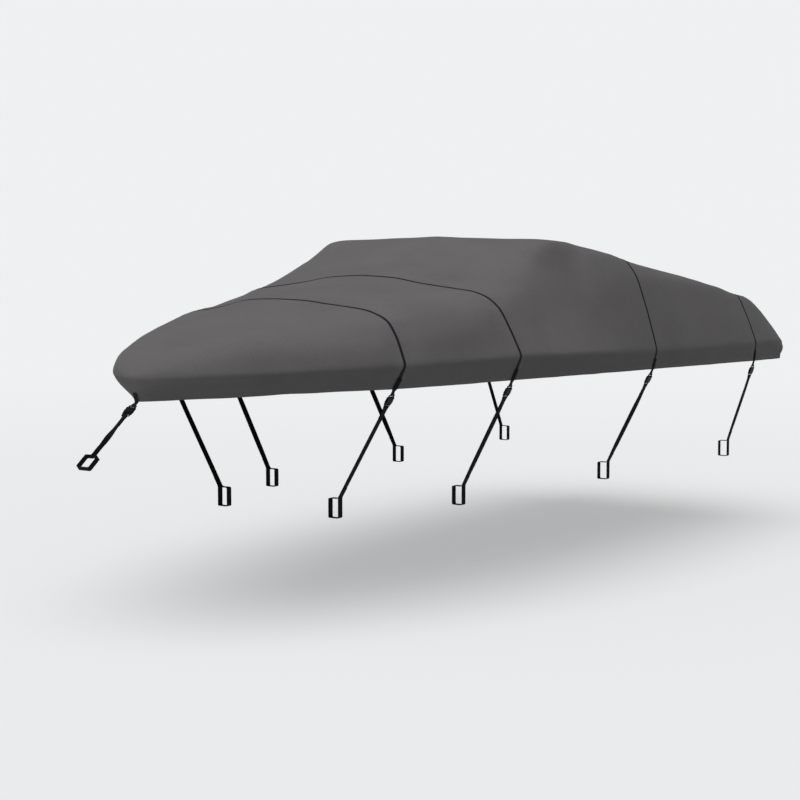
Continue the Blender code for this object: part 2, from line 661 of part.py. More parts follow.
def build():
    clear_scene()
    cloth = finish_material("woven_polyester", (0.105, 0.103, 0.106), 0.85)
    webbing = finish_material("polypropylene_webbing", (0.012, 0.012, 0.013), 0.65)
    acetal = finish_material("moulded_acetal", (0.010, 0.010, 0.010), 0.40)
    socket = socket_template()
    plug = plug_template()

    add_end_panel("panel_bow", SEAMS[0] - SEAM_GAP / 2, bow_outline(), cloth)
    add_cross_panel("panel_foredeck", SEAMS[0], SEAMS[1], (1.40, 1.55, 1.70, 1.85), cloth)
    windscreen = (2.12, 2.27, 2.42, 2.58, CREST_X, 2.90, 3.06, 3.24)
    add_cross_panel("panel_windscreen", SEAMS[1], SEAMS[2], windscreen, cloth)
    add_cross_panel("panel_cockpit", SEAMS[2], SEAMS[3], (3.65, 3.90, 4.15, 4.40, 4.68), cloth)
    add_end_panel("panel_stern", SEAMS[3] + SEAM_GAP / 2, stern_outline(), cloth)

    for number, seam_x in enumerate(SEAMS, 1):
        add_web(f"seam_web_{number}", seam_x, webbing)
        for side, word in ((-1, "port"), (1, "starboard")):
            frame = hem_frame(seam_x, side)
            add_patch(f"patch_{word}_{number}", seam_x, side, webbing)
            add_buckle_half(f"buckle_socket_{word}_{number}", socket, frame, acetal)
            add_buckle_half(f"buckle_plug_{word}_{number}", plug, frame, acetal)
            add_tie_down(f"tie_down_{word}_{number}", seam_x, side, webbing)

    add_bow_web("bow_web", webbing)
    add_buckle_half("buckle_socket_bow", socket, bow_frame(), acetal)
    add_buckle_half("buckle_plug_bow", plug, bow_frame(), acetal)
    add_bow_strap("bow_strap", webbing)


build()
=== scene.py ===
import math
import bpy
import bmesh
import numpy as np
from mathutils import Matrix, Vector


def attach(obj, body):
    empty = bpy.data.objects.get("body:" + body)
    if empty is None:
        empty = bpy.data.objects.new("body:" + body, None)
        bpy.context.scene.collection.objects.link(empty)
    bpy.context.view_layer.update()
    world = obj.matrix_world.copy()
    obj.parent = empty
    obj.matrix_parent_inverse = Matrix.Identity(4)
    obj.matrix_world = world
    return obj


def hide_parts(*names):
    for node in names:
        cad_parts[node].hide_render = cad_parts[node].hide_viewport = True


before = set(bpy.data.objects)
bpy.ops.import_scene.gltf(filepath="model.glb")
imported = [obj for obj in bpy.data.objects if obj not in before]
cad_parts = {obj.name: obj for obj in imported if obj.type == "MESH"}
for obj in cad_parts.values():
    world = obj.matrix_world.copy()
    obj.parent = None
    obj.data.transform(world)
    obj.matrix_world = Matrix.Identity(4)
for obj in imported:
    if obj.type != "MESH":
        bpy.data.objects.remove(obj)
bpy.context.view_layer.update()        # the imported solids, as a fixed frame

print("solids loaded:", len(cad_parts))

# Sizes are in metres. x runs aft, y to starboard and z up from the ground;
# place() moves a point to the frame's own origin under the crown.
cover = {
    "crownX": 2.743, "crownZ": 1.937, "cloth": 0.0022, "hemCloth": 0.0042,
    "stemX": 0.135, "noseLength": 0.365, "noseRoot": 0.69, "noseSlope": 0.06,
    "transomX": 5.56, "cornerRadius": 0.14,
    "bowBulge": 0.018, "bowBulgeAt": 0.42, "bowBulgeReach": 0.25,
    "bowBulgeFrom": 0.04, "bowBulgeFade": 0.18,
    "sternBulge": 0.010, "sternBulgeFrom": 5.25, "sternBulgeReach": 0.25,
    "hemTuck": 0.012, "tuckFrom": 5.2, "tuckReach": 0.3, "bowHem": 0.169,
    "slackFrom": 0.2, "slackReach": 0.4, "foldFade": 0.08,     # shares of the half-width
    "seamGap": 0.0003, "seams": (1.24, 1.99, 3.44, 4.95),
}
seams = cover["seams"]
frameOrigin = np.array([cover["crownX"], 0.0, cover["crownZ"] - cover["cloth"]])


def place(points):
    return np.asarray(points, float) - frameOrigin


def linear(hexText):
    # an sRGB hex colour as linear red, green, blue and alpha
    channels = [int(hexText[i:i + 2], 16) / 255 for i in (0, 2, 4)]
    return (*(c / 12.92 if c <= 0.04045 else ((c + 0.055) / 1.055) ** 2.4 for c in channels), 1.0)


def setNode(tree, node, settings=(), links=()):
    # settings by property or socket, and links by socket
    for name, value in dict(settings).items():
        if isinstance(name, str) and hasattr(node, name):
            setattr(node, name, value)
        else:
            node.inputs[name].default_value = value
    for name, source in dict(links).items():
        tree.links.new(source, node.inputs[name])
    return node


def addNode(tree, kind, settings=(), links=()):
    return setNode(tree, tree.nodes.new(kind), settings, links)


def newMaterial(name):
    material = bpy.data.materials.new(name)
    material.use_nodes = True
    tree = material.node_tree
    return material, tree, tree.nodes["Principled BSDF"]


def sums(tree, operation, first, second=0.0):
    # a maths node between two sockets or numbers
    settings = {"operation": operation}
    links = {}
    for index, value in enumerate((first, second)):
        if isinstance(value, (int, float)):
            settings[index] = float(value)
        else:
            links[index] = value
    return addNode(tree, "ShaderNodeMath", settings, links).outputs[0]


def sumsIn(tree):
    # the three commonest sums, for one node tree
    return (lambda first, second: sums(tree, "ADD", first, second),
            lambda first, second: sums(tree, "MULTIPLY", first, second),
            lambda value: sums(tree, "SINE", value))


def noise(tree, where, scale, detail, roughness=0.5):
    settings = {"Scale": scale, "Detail": detail, "Roughness": roughness}
    return addNode(tree, "ShaderNodeTexNoise", settings, {"Vector": where}).outputs["Fac"]


def remap(tree, value, source=(0.0, 1.0), target=(0.0, 1.0)):
    settings = {"From Min": source[0], "From Max": source[1],
                "To Min": target[0], "To Max": target[1]}
    return addNode(tree, "ShaderNodeMapRange", settings, {"Value": value}).outputs[0]


def blend(tree, share, first, second):
    # between two colours, of which the first may be a socket
    settings = {"data_type": "RGBA", 7: linear(second)}
    mix = addNode(tree, "ShaderNodeMix", settings, {"Factor": share})
    if isinstance(first, str):
        setNode(tree, mix, {6: linear(first)})
    else:
        setNode(tree, mix, links={6: first})
    return mix.outputs[2]


def clothPlaces(tree):
    # the length along and across the cut, the cut itself, and the place in space
    cut = addNode(tree, "ShaderNodeUVMap", {"uv_map": "cut"}).outputs[0]
    split = addNode(tree, "ShaderNodeSeparateXYZ", links={0: cut})
    return split.outputs[0], split.outputs[1], cut, objectPlace(tree)


def objectPlace(tree):
    return addNode(tree, "ShaderNodeTexCoord").outputs["Object"]


def addRelief(tree, shader, relief, strength, distance=1.0):
    settings = {"Strength": strength, "Distance": distance}
    bump = addNode(tree, "ShaderNodeBump", settings, {"Height": relief})
    tree.links.new(bump.outputs[0], shader.inputs["Normal"])


# Solution-dyed polyester, plain weave, with a thin coating on its back: matt, with a faint sheen.
polyester = {
    "light": "676566", "dark": "5b595a", "shown": (0.40, 0.80), "gloss": 0.22,
    "roughness": 0.90, "roughnessSpread": 0.05, "sheen": 0.03, "sheenRoughness": 0.45,
    "threadPitch": 0.0008, "threadDepth": 0.00006,     # 0.4 mm between threads, two to a repeat
    "slubPitch": 0.0045, "slubStretch": 18.0,   # thread-to-thread streaks, coarse so that they show
    "slubDepth": 0.00035, "slubShade": 0.75, "bump": 0.5,
    "patchSize": 0.35, "patchShade": 0.45,      # slow change in shade over the cloth
}


def wovenPolyester():
    p = polyester
    material, tree, shader = newMaterial("wovenPolyester")
    plus, times, sine = sumsIn(tree)
    along, across, cut, space = clothPlaces(tree)
    turns = 2 * math.pi / p["threadPitch"]
    weave = times(sine(times(along, turns)), sine(times(across, turns)))
    streaks = []
    for long, short in ((p["slubStretch"], 1.0), (1.0, p["slubStretch"])):
        scale = (1 / p["slubPitch"] / long, 1 / p["slubPitch"] / short, 1.0)
        stretched = addNode(tree, "ShaderNodeMapping", {"Scale": scale}, {"Vector": cut})
        streaks.append(noise(tree, stretched.outputs[0], 1.0, 2.0, 0.6))
    slub = times(plus(*streaks), 0.5)
    patches = noise(tree, space, 1 / p["patchSize"], 4.0, 0.55)
    shade = plus(times(slub, p["slubShade"]), times(patches, p["patchShade"]))
    low, high = p["roughness"] - p["roughnessSpread"], p["roughness"] + p["roughnessSpread"]
    setNode(tree, shader,
            {"Specular IOR Level": p["gloss"], "Sheen Weight": p["sheen"],
             "Sheen Roughness": p["sheenRoughness"]},
            {"Base Color": blend(tree, remap(tree, shade, p["shown"]), p["dark"], p["light"]),
             "Roughness": remap(tree, patches, target=(low, high))})
    relief = plus(times(weave, p["threadDepth"]), times(slub, p["slubDepth"]))
    addRelief(tree, shader, relief, p["bump"])
    return material


# Polypropylene webbing, flat woven in ribs: black, with a dry soft gloss on each rib.
webbing = {
    "colour": "070708", "worn": "0f0f10", "shown": (0.25, 0.95), "roughness": 0.80, "gloss": 0.12,
    "sewnColour": "1a191e", "sewnWorn": "2b2a31",      # over the panels, dusted like their cloth
    "ribPitch": 0.0016,         # ribs across the width, as on 25 and 38 mm webbing
    "pickPitch": 0.0022, "pickLean": 1.3,       # picks along the length
    "ribDepth": 0.0004, "stitchHeight": 0.0004, "bump": 0.6,
    "ribShare": 0.6, "pickShare": 0.4, "weaveShade": 0.35,
    "fuzz": 260.0, "fuzzShade": 0.25, "wear": 14.0, "wearShade": 0.7,
    "stitchPitch": 0.0045, "stitchLength": 0.0030, "stitchWidth": 0.0011, "thread": "232325",
}


def wovenWebbing(name, stitchLine, dark, light):
    # stitchLine is how far two sewing rows run from the middle, or None for a strap without them
    w = webbing
    material, tree, shader = newMaterial(name)
    plus, times, sine = sumsIn(tree)
    along, across, _, space = clothPlaces(tree)
    rib = sine(times(across, 2 * math.pi / w["ribPitch"]))
    pick = sine(plus(times(along, 2 * math.pi / w["pickPitch"]), times(rib, w["pickLean"])))
    weave = times(plus(times(rib, w["ribShare"]), times(pick, w["pickShare"])), 0.5)
    fuzz = times(noise(tree, space, w["fuzz"], 3.0), w["fuzzShade"])
    wear = times(noise(tree, space, w["wear"], 5.0, 0.65), w["wearShade"])
    mixed = plus(times(weave, w["weaveShade"]), plus(wear, fuzz))
    tint = blend(tree, remap(tree, mixed, w["shown"]), w[dark], w[light])
    relief = times(weave, w["ribDepth"])
    if stitchLine:
        off = sums(tree, "SUBTRACT", sums(tree, "ABSOLUTE", across), stitchLine)
        onLine = sums(tree, "LESS_THAN", sums(tree, "ABSOLUTE", off), w["stitchWidth"] / 2)
        step = sums(tree, "MODULO", plus(along, 10.0), w["stitchPitch"])
        stitch = times(onLine, sums(tree, "LESS_THAN", step, w["stitchLength"]))
        tint = blend(tree, stitch, tint, w["thread"])
        relief = plus(relief, times(stitch, w["stitchHeight"]))
    setNode(tree, shader, {"Roughness": w["roughness"], "Specular IOR Level": w["gloss"]},
            {"Base Color": tint})
    addRelief(tree, shader, relief, w["bump"])
    return material


# Acetal from a lightly spark-eroded mould: black, satin, a little polished where it rubs.
acetal = {
    "colour": "060607", "rubbed": "0c0c0d", "roughness": 0.45, "roughnessSpread": 0.08,
    "gloss": 0.10, "grain": 0.0006, "grainDepth": 0.0002, "bump": 0.25, "rub": 90.0,
}


def mouldedAcetal():
    a = acetal
    material, tree, shader = newMaterial("mouldedAcetal")
    space = objectPlace(tree)
    rub = noise(tree, space, a["rub"], 4.0)
    low, high = a["roughness"] - a["roughnessSpread"], a["roughness"] + a["roughnessSpread"]
    setNode(tree, shader, {"Specular IOR Level": a["gloss"]},
            {"Base Color": blend(tree, rub, a["colour"], a["rubbed"]),
             "Roughness": remap(tree, rub, target=(low, high))})
    grain = noise(tree, space, 1 / a["grain"], 2.0)
    addRelief(tree, shader, grain, a["bump"], a["grainDepth"])
    return material


clothMaterial = wovenPolyester()
sewnWebMaterial = wovenWebbing("polypropyleneSewnWeb", 0.0055, "sewnColour", "sewnWorn")
patchMaterial = wovenWebbing("polypropylenePatch", 0.0120, "colour", "worn")
strapMaterial = wovenWebbing("polypropyleneStrap", None, "colour", "worn")
buckleMaterial = mouldedAcetal()
print("materials made")


# The cover's surface: crown, knuckle and hem heights, and half-widths at knuckle and hem.
sections = np.array([
    # x      crown  knuckle hem    wide   hemWide
    [0.135, 1.258, 1.256, 1.136, 0.000, 0.000],
    [0.170, 1.300, 1.256, 1.137, 0.131, 0.042],
    [0.220, 1.345, 1.257, 1.138, 0.206, 0.085],
    [0.320, 1.392, 1.260, 1.142, 0.308, 0.172],
    [0.500, 1.447, 1.264, 1.147, 0.439, 0.320],
    [0.800, 1.516, 1.271, 1.153, 0.625, 0.470],
    [1.240, 1.602, 1.283, 1.160, 0.816, 0.746],
    [1.600, 1.655, 1.293, 1.165, 0.942, 0.881],
    [1.990, 1.716, 1.302, 1.169, 1.042, 0.983],
    [2.400, 1.830, 1.294, 1.166, 1.088, 1.036],
    [2.743, 1.937, 1.285, 1.161, 1.100, 1.055],
    [2.900, 1.923, 1.281, 1.159, 1.103, 1.062],
    [3.070, 1.894, 1.277, 1.156, 1.106, 1.069],
    [3.220, 1.868, 1.273, 1.154, 1.108, 1.074],
    [3.440, 1.814, 1.268, 1.151, 1.110, 1.080],
    [4.200, 1.706, 1.256, 1.136, 1.105, 1.082],
    [4.600, 1.645, 1.252, 1.129, 1.096, 1.077],
    [4.950, 1.577, 1.248, 1.121, 1.085, 1.070],
    [5.080, 1.563, 1.247, 1.119, 1.080, 1.066],
    [5.250, 1.512, 1.245, 1.116, 1.073, 1.060],
    [5.420, 1.426, 1.236, 1.113, 1.066, 1.053],
    [5.520, 1.326, 1.222, 1.112, 1.062, 1.049],
    [5.560, 1.212, 1.212, 1.112, 1.060, 1.047]])

shares = np.array([0.0, 0.20, 0.40, 0.60, 0.70, 0.78, 0.86, 0.93, 1.0])
profiles = np.array([
    # x     how far the top stays up, at each of the shares of the half-width
    [0.135, 1, 0.980, 0.930, 0.860, 0.800, 0.720, 0.590, 0.370, 0],
    [0.500, 1, 0.980, 0.930, 0.860, 0.800, 0.720, 0.590, 0.370, 0],
    [1.240, 1, 0.985, 0.935, 0.885, 0.850, 0.790, 0.690, 0.450, 0],
    [1.990, 1, 0.975, 0.900, 0.840, 0.810, 0.750, 0.615, 0.340, 0],
    [2.400, 1, 0.985, 0.960, 0.945, 0.860, 0.680, 0.440, 0.220, 0],
    [2.743, 1, 0.990, 0.980, 0.975, 0.955, 0.700, 0.440, 0.220, 0],
    [3.070, 1, 0.995, 0.990, 0.985, 0.980, 0.915, 0.660, 0.330, 0],
    [3.440, 1, 0.995, 0.990, 0.987, 0.985, 0.980, 0.830, 0.470, 0],
    [4.950, 1, 0.995, 0.990, 0.985, 0.980, 0.977, 0.950, 0.570, 0],
    [5.560, 1, 0.995, 0.990, 0.985, 0.980, 0.975, 0.930, 0.560, 0]])

# Starboard cloth hangs slack: its middle by x, its reach and its depth.
slacks = (
    (1.15, 0.44, 0.027), (1.60, 0.25, 0.026), (2.62, 0.12, 0.015))

# Shallow troughs between two points, each by x and by share of the half-width.
folds = np.array([
    # x0    share0  x1    share1  width  depth
    [0.35, -0.80, 1.10, -0.90, 0.060, 0.005],
    [0.40, 0.80, 1.12, 0.86, 0.060, 0.006],
    [1.38, -0.55, 1.92, -0.86, 0.060, 0.006],
    [1.45, 0.45, 1.90, 0.80, 0.070, 0.006],
    [2.10, -0.30, 2.60, -0.55, 0.080, 0.006],
    [2.10, 0.25, 2.62, 0.58, 0.080, 0.005],
    [2.30, -0.90, 2.95, -0.80, 0.050, 0.006],
    [2.35, 0.88, 3.00, 0.82, 0.050, 0.006],
    [2.90, -0.45, 3.38, -0.10, 0.090, 0.008],
    [2.95, 0.40, 3.36, 0.15, 0.090, 0.007],
    [3.52, -0.93, 4.30, -0.88, 0.050, 0.005],
    [3.60, 0.90, 4.40, 0.92, 0.050, 0.005],
    [3.60, -0.40, 4.85, -0.15, 0.100, 0.009],
    [3.55, 0.35, 4.80, 0.20, 0.100, 0.008],
    [5.05, -0.35, 5.45, -0.55, 0.060, 0.006],
    [5.05, 0.30, 5.44, 0.50, 0.060, 0.006]])


def unit(vector):
    return np.asarray(vector, float) / np.linalg.norm(vector)


def units(vectors):
    return vectors / np.linalg.norm(vectors, axis=-1, keepdims=True)


def runAlong(points):
    # how far each point lies along the line through them
    return np.concatenate([[0.0], np.cumsum(np.linalg.norm(np.diff(points, axis=0), axis=1))])


def ease(value):
    value = np.clip(value, 0.0, 1.0)
    return value * value * (3 - 2 * value)


def knotSlopes(knots, rows):
    # slopes of a smooth curve through the knots that never overshoots
    grow = np.diff(rows, axis=0) / np.diff(knots)[:, None]
    before, after = grow[:-1], grow[1:]
    total = np.where(np.abs(before + after) < 1e-12, 1.0, before + after)
    middle = np.where(before * after > 0, 2 * before * after / total, 0.0)
    return np.vstack([grow[:1], middle, grow[-1:]])


def rowsBetween(knots, rows, at, ownColumn=False):
    # the rows read at each place; with ownColumn, place i reads only column i
    at = np.clip(at, knots[0], knots[-1])
    slope = knotSlopes(knots, rows)
    cell = np.clip(np.searchsorted(knots, at, side="right") - 1, 0, len(knots) - 2)
    wide = knots[cell + 1] - knots[cell]
    part = (at - knots[cell]) / wide
    if ownColumn:
        column = np.arange(rows.shape[1])
        low, high = rows[cell, column], rows[cell + 1, column]
        leave, arrive = slope[cell, column] * wide, slope[cell + 1, column] * wide
    else:
        part, wide = part[..., None], wide[..., None]
        low, high = rows[cell], rows[cell + 1]
        leave, arrive = slope[cell] * wide, slope[cell + 1] * wide
    rise = part * part * (3 - 2 * part)
    curve = low + (high - low) * rise + leave * part * (1 - part)**2
    return curve - arrive * part * part * (1 - part)


def sectionAt(x):
    return rowsBetween(sections[:, 0], sections[:, 1:], np.asarray(x, float))


def halfWidth(x):
    # the knuckle line in plan: a round nose, the tabled sides and round stern corners
    c = cover
    x = np.asarray(x, float)
    nose = np.clip(x - c["stemX"], 0.0, c["noseLength"])
    noseWide = c["noseRoot"] * np.sqrt(nose) + c["noseSlope"] * nose
    wide = np.where(x < c["stemX"] + c["noseLength"], noseWide, sectionAt(x)[..., 3])
    radius = c["cornerRadius"]
    into = np.clip(x - (c["transomX"] - radius), 0.0, radius)
    return wide - (radius - np.sqrt(radius**2 - into**2))


def heightShare(x, share):
    rows = rowsBetween(profiles[:, 0], profiles[:, 1:], x)
    table = rows.reshape(-1, len(shares)).T
    return rowsBetween(shares, table, np.ravel(share), ownColumn=True).reshape(np.shape(share))


def foldDepth(x, share):
    depth = np.zeros(np.shape(x))
    for x0, share0, x1, share1, width, deep in folds:
        alongX, alongShare = x1 - x0, share1 - share0
        here = ((x - x0) * alongX + (share - share0) * alongShare) / (alongX**2 + alongShare**2)
        here = np.clip(here, 0.0, 1.0)
        away = np.hypot(x - x0 - here * alongX, share - share0 - here * alongShare)
        depth = depth + deep * np.exp(-((away / width) ** 2))
    return depth * ease((1.0 - np.abs(share)) / cover["foldFade"])


def topHeight(x, y):
    x, y = np.broadcast_arrays(np.asarray(x, float), np.asarray(y, float))
    levels = sectionAt(x)
    signed = np.clip(y / np.maximum(halfWidth(x), 1e-4), -1.0, 1.0)
    share = np.abs(signed)
    slack = sum(depth * np.exp(-((x - middle) / reach) ** 2) for middle, reach, depth in slacks)
    slack = slack * ease((signed - cover["slackFrom"]) / cover["slackReach"]) * (1 - share**8)
    rise = (levels[..., 0] - levels[..., 1]) * heightShare(x, share)
    return levels[..., 1] + rise - slack - foldDepth(x, signed)


def hemUnder(x, y):
    c = cover
    levels = sectionAt(x)
    pull = (seams[0] - c["bowHem"]) / (seams[0] - c["stemX"])
    ahead = x < seams[0]
    tucked = x - c["hemTuck"] * ease((x - c["tuckFrom"]) / c["tuckReach"])
    hemX = np.where(ahead, c["bowHem"] + (x - c["stemX"]) * pull, tucked)
    drawnIn = y * levels[..., 4] / np.maximum(levels[..., 3], 1e-4)
    hemY = np.where(ahead, np.sign(y) * levels[..., 4], drawnIn)
    return np.stack(np.broadcast_arrays(hemX, hemY, levels[..., 2]), -1)


print("surface ready")


# Cloth panels, as closed sheets under grids of lines from the crown to the hem.
weaveRelief = {
    "slow": 0.0016, "slowLength": 0.62,         # long soft waves where the cloth spans its supports
    "webEdge": 0.012, "slowFade": 0.05, "foldFade": 0.16, "kneeFade": 0.03,
    "pucker": 0.0006, "puckerLength": 0.048,    # gathers along both sides of each sewn web
    "puckerAt": 0.024, "puckerReach": 0.013, "puckerFrom": 0.011, "puckerFade": 0.012,
    "puckerZ": 1.2, "waveLengths": (0.37, 0.21),
    "skirtWave": 0.0022, "waveFade": 0.12,      # the skirt standing off between its buckles
    "drag": 0.0016, "dragWidth": 0.016,         # creases that fan up from each pulled hem point
    "dragTop": 0.13, "dragLeans": (-0.9, -0.42, 0.40, 0.95), "dragFrom": 0.010, "dragFade": 0.02,
    "dragFoot": 0.05, "dragFootFade": 0.10,
    "kneeRound": 0.016, "kneeTurn": 0.62,       # how far the knuckle's round edge reaches
    "shortest": 0.05,                           # a line counts as at least this long there
    "hemCord": 0.0010, "stitchGroove": 0.0004, "edgeTuck": 0.0012, "edgeThick": 0.0018,
}
# Steps from the crown out: coarse over the first 70 percent, then finer.
topSteps = np.concatenate([np.linspace(0.0, 0.70, 30)[:-1], np.linspace(0.70, 1.0, 24)[:-1]])
kneeSteps = np.linspace(0.0, 1.0, 6)
# The hem: heights above its edge, shares of the groove and the cord, and thickness from the
# cloth to the folded hem.
bandSteps = (0.034, 0.030, 0.0285, 0.027, 0.0255, 0.024, 0.017, 0.011, 0.007, 0.004, 0.0015, 0.0)
bandOut = (0.0, 0.0, -0.5, -1.0, -0.5, 0.0, 0.0, 0.5, 1.0, 0.8, 0.1, -0.9)
bandThick = (0.0, 0.3, 1.0, 1.0, 1.0, 1.0, 1.0, 1.2, 1.5, 1.4, 1.0, 0.2)
skirtSteps = 6

# Soft folds on the port side, where the cloth is pulled over the deck edge: points on the cloth,
# height and reach.
softFolds = (
    (((0.294, -0.108, 1.374), (0.344, -0.184, 1.383), (0.437, -0.292, 1.391),
      (0.549, -0.385, 1.391), (0.665, -0.474, 1.390), (0.782, -0.569, 1.375),
      (0.918, -0.649, 1.360), (1.074, -0.717, 1.357), (1.164, -0.765, 1.345)), 0.012, 0.090),
    (((1.221, -0.777, 1.366), (1.337, -0.810, 1.400), (1.483, -0.860, 1.410),
      (1.677, -0.892, 1.454), (1.862, -0.913, 1.497)), 0.017, 0.110),
    (((2.105, -0.869, 1.594), (2.231, -0.853, 1.621), (2.338, -0.847, 1.647),
      (2.445, -0.823, 1.706)), 0.006, 0.060),
    (((2.552, -0.870, 1.673), (2.795, -0.918, 1.628), (2.990, -0.965, 1.624)), 0.012, 0.150),
)


def foldStand(grid):
    stand = 0 * grid[..., 0]
    for points, height, reach in softFolds:
        points = np.array(points)
        away = np.full(stand.shape, np.inf)
        for start, run in zip(points, points[1:] - points[:-1]):
            share = np.clip((grid - start) @ run / (run @ run), 0, 1)
            away = np.minimum(away, np.linalg.norm(grid - start - share[..., None] * run, axis=-1))
        stand = stand + height * np.exp(-(away / reach) ** 2)
    return stand


def bulgeOut(startX, knee):
    # how far the middle of the skirt stands out beside the stem and round the stern
    c = cover
    reach = np.stack([knee[:, 0] - startX, knee[:, 1], 0 * startX], -1)
    depth = c["bowBulge"] * np.exp(-((knee[:, 0] - c["bowBulgeAt"]) / c["bowBulgeReach"]) ** 2)
    depth = depth * ease((np.abs(knee[:, 1]) - c["bowBulgeFrom"]) / c["bowBulgeFade"])
    stern = ease((knee[:, 0] - c["sternBulgeFrom"]) / c["sternBulgeReach"])
    return units(reach) * (depth + c["sternBulge"] * stern)[:, None]


def clothLines(startX, kneeX, kneeY):
    # lines of the cloth from the centre out to the knuckle and down to the hem, one row for each
    places = [np.atleast_1d(np.asarray(v, float)) for v in (startX, kneeX, kneeY)]
    startX, kneeX, kneeY = np.broadcast_arrays(*places)
    knee = np.stack([kneeX, kneeY, sectionAt(kneeX)[:, 1]], -1)
    reachX = kneeX - startX
    kneeRound = weaveRelief["kneeRound"]
    length = np.maximum(np.hypot(reachX, kneeY), weaveRelief["shortest"])
    turn = 1.0 - kneeRound * weaveRelief["kneeTurn"] / length
    steps = topSteps[None, :] / topSteps[-1] * turn[:, None]
    x = startX[:, None] + steps * reachX[:, None]
    y = steps * kneeY[:, None]
    top = np.stack([x, y, topHeight(x, y)], -1)
    hem = hemUnder(kneeX, kneeY)
    drop = hem - knee
    fall = np.linalg.norm(drop, axis=1)
    down = drop / fall[:, None]
    end = knee + down * kneeRound
    part = kneeSteps[None, 1:, None]
    bend = top[:, -1:] * (1 - part)**2 + knee[:, None] * 2 * part * (1 - part)
    bend = bend + end[:, None] * part**2
    lower = fall - kneeRound - bandSteps[0]
    part = np.linspace(0, 1, skirtSteps + 1)[1:-1]
    skirt = end[:, None] + down[:, None] * (lower[:, None] * part)[..., None]
    skirt = skirt + bulgeOut(startX, knee)[:, None] * (4 * part * (1 - part))[None, :, None]
    band = hem[:, None] - down[:, None] * np.array(bandSteps)[None, :, None]
    return np.concatenate([top, bend, skirt, band], axis=1)


kneeColumn = len(topSteps) + 3
lineLength = len(topSteps) + len(kneeSteps) - 1 + skirtSteps - 1 + len(bandSteps)


def gridNormals(grid):
    # outward normals of a grid of points, weighted by the faces round each point
    across = np.cross(grid[1:, 1:] - grid[:-1, :-1], grid[:-1, 1:] - grid[1:, :-1])
    normal = np.zeros_like(grid)
    for i in (0, 1):
        for j in (0, 1):
            normal[i:grid.shape[0] - 1 + i, j:grid.shape[1] - 1 + j] += across
    if normal[..., 2].mean() < 0:
        normal = -normal
    return normal / np.maximum(np.linalg.norm(normal, axis=2, keepdims=True), 1e-12)


def reliefAt(grid, below):
    # how far the cloth stands out from its main form; below is the distance under the knuckle
    r = weaveRelief
    x, y, z = grid[..., 0], grid[..., 1], grid[..., 2]
    beside = np.min([np.abs(x - seam) for seam in seams], axis=0) - r["webEdge"]
    aboveKnee = ease((r["kneeFade"] - below) / r["kneeFade"])
    # crossing waves, bent so that no repeat shows
    turn = 2 * np.pi / r["slowLength"]
    slow = np.sin(turn * (x + 0.35 * y) + 1.3 * np.sin(3.1 * y))
    slow = slow * np.sin(turn * 0.8 * (y - 0.3 * x) + 0.7)
    slow = slow + (0.5 * np.sin(turn * 2.1 * (x - 0.5 * z) + 2.0 * np.sin(2.3 * y + 0.4))
                   * np.cos(turn * 1.7 * y + 1.1))
    stand = r["slow"] * slow * ease(beside / r["slowFade"]) * aboveKnee
    stand = stand + foldStand(grid) * ease(beside / r["foldFade"]) * aboveKnee
    for number, seam in enumerate(seams):
        away = np.abs(x - seam)
        ring = np.exp(-((away - r["puckerAt"]) / r["puckerReach"]) ** 2)
        gathers = 2 * np.pi * np.hypot(y, z - r["puckerZ"]) / r["puckerLength"]
        beat = np.sin(gathers + 2.1 * np.sin(9 * y + number))
        fade = ease((away - r["puckerFrom"]) / r["puckerFade"])
        stand = stand + r["pucker"] * ring * beat * fade
    stops = np.array([cover["bowHem"], *seams, cover["transomX"]])
    cell = np.clip(np.searchsorted(stops, x, side="right") - 1, 0, len(stops) - 2)
    part = np.clip((x - stops[cell]) / (stops[cell + 1] - stops[cell]), 0, 1)
    long, short = r["waveLengths"]
    swell = 0.6 * np.sin(2 * np.pi * x / long + 1.1 * np.sign(y))
    swell = swell + 0.4 * np.sin(2 * np.pi * x / short + 0.5)
    stand = stand + r["skirtWave"] * np.sin(np.pi * part) ** 2 * swell * ease(below / r["waveFade"])
    far = ease((r["dragTop"] - below) / r["dragFade"])
    far = far * ease((below + r["dragFoot"]) / r["dragFootFade"])
    for seam in seams:
        fade = ease((np.abs(x - seam) - r["dragFrom"]) / r["dragFade"])
        for lean in r["dragLeans"]:
            offset = (x - seam) - np.sign(lean) * r["webEdge"]
            offset = offset - lean * np.maximum(r["dragTop"] - below, 0.0)
            stand = stand + r["drag"] * far * np.exp(-(offset / r["dragWidth"]) ** 2) * fade
    return stand


def acrossLength(grid, count=24):
    # how far each point lies from the middle plane, measured over the cloth at its own x
    x, y = grid[..., 0], grid[..., 1]
    run = np.zeros(x.shape)
    last = topHeight(x, 0 * y)
    for step in range(1, count + 1):
        height = topHeight(x, y * step / count)
        run = run + np.hypot(y / count, height - last)
        last = height
    return np.sign(y) * run


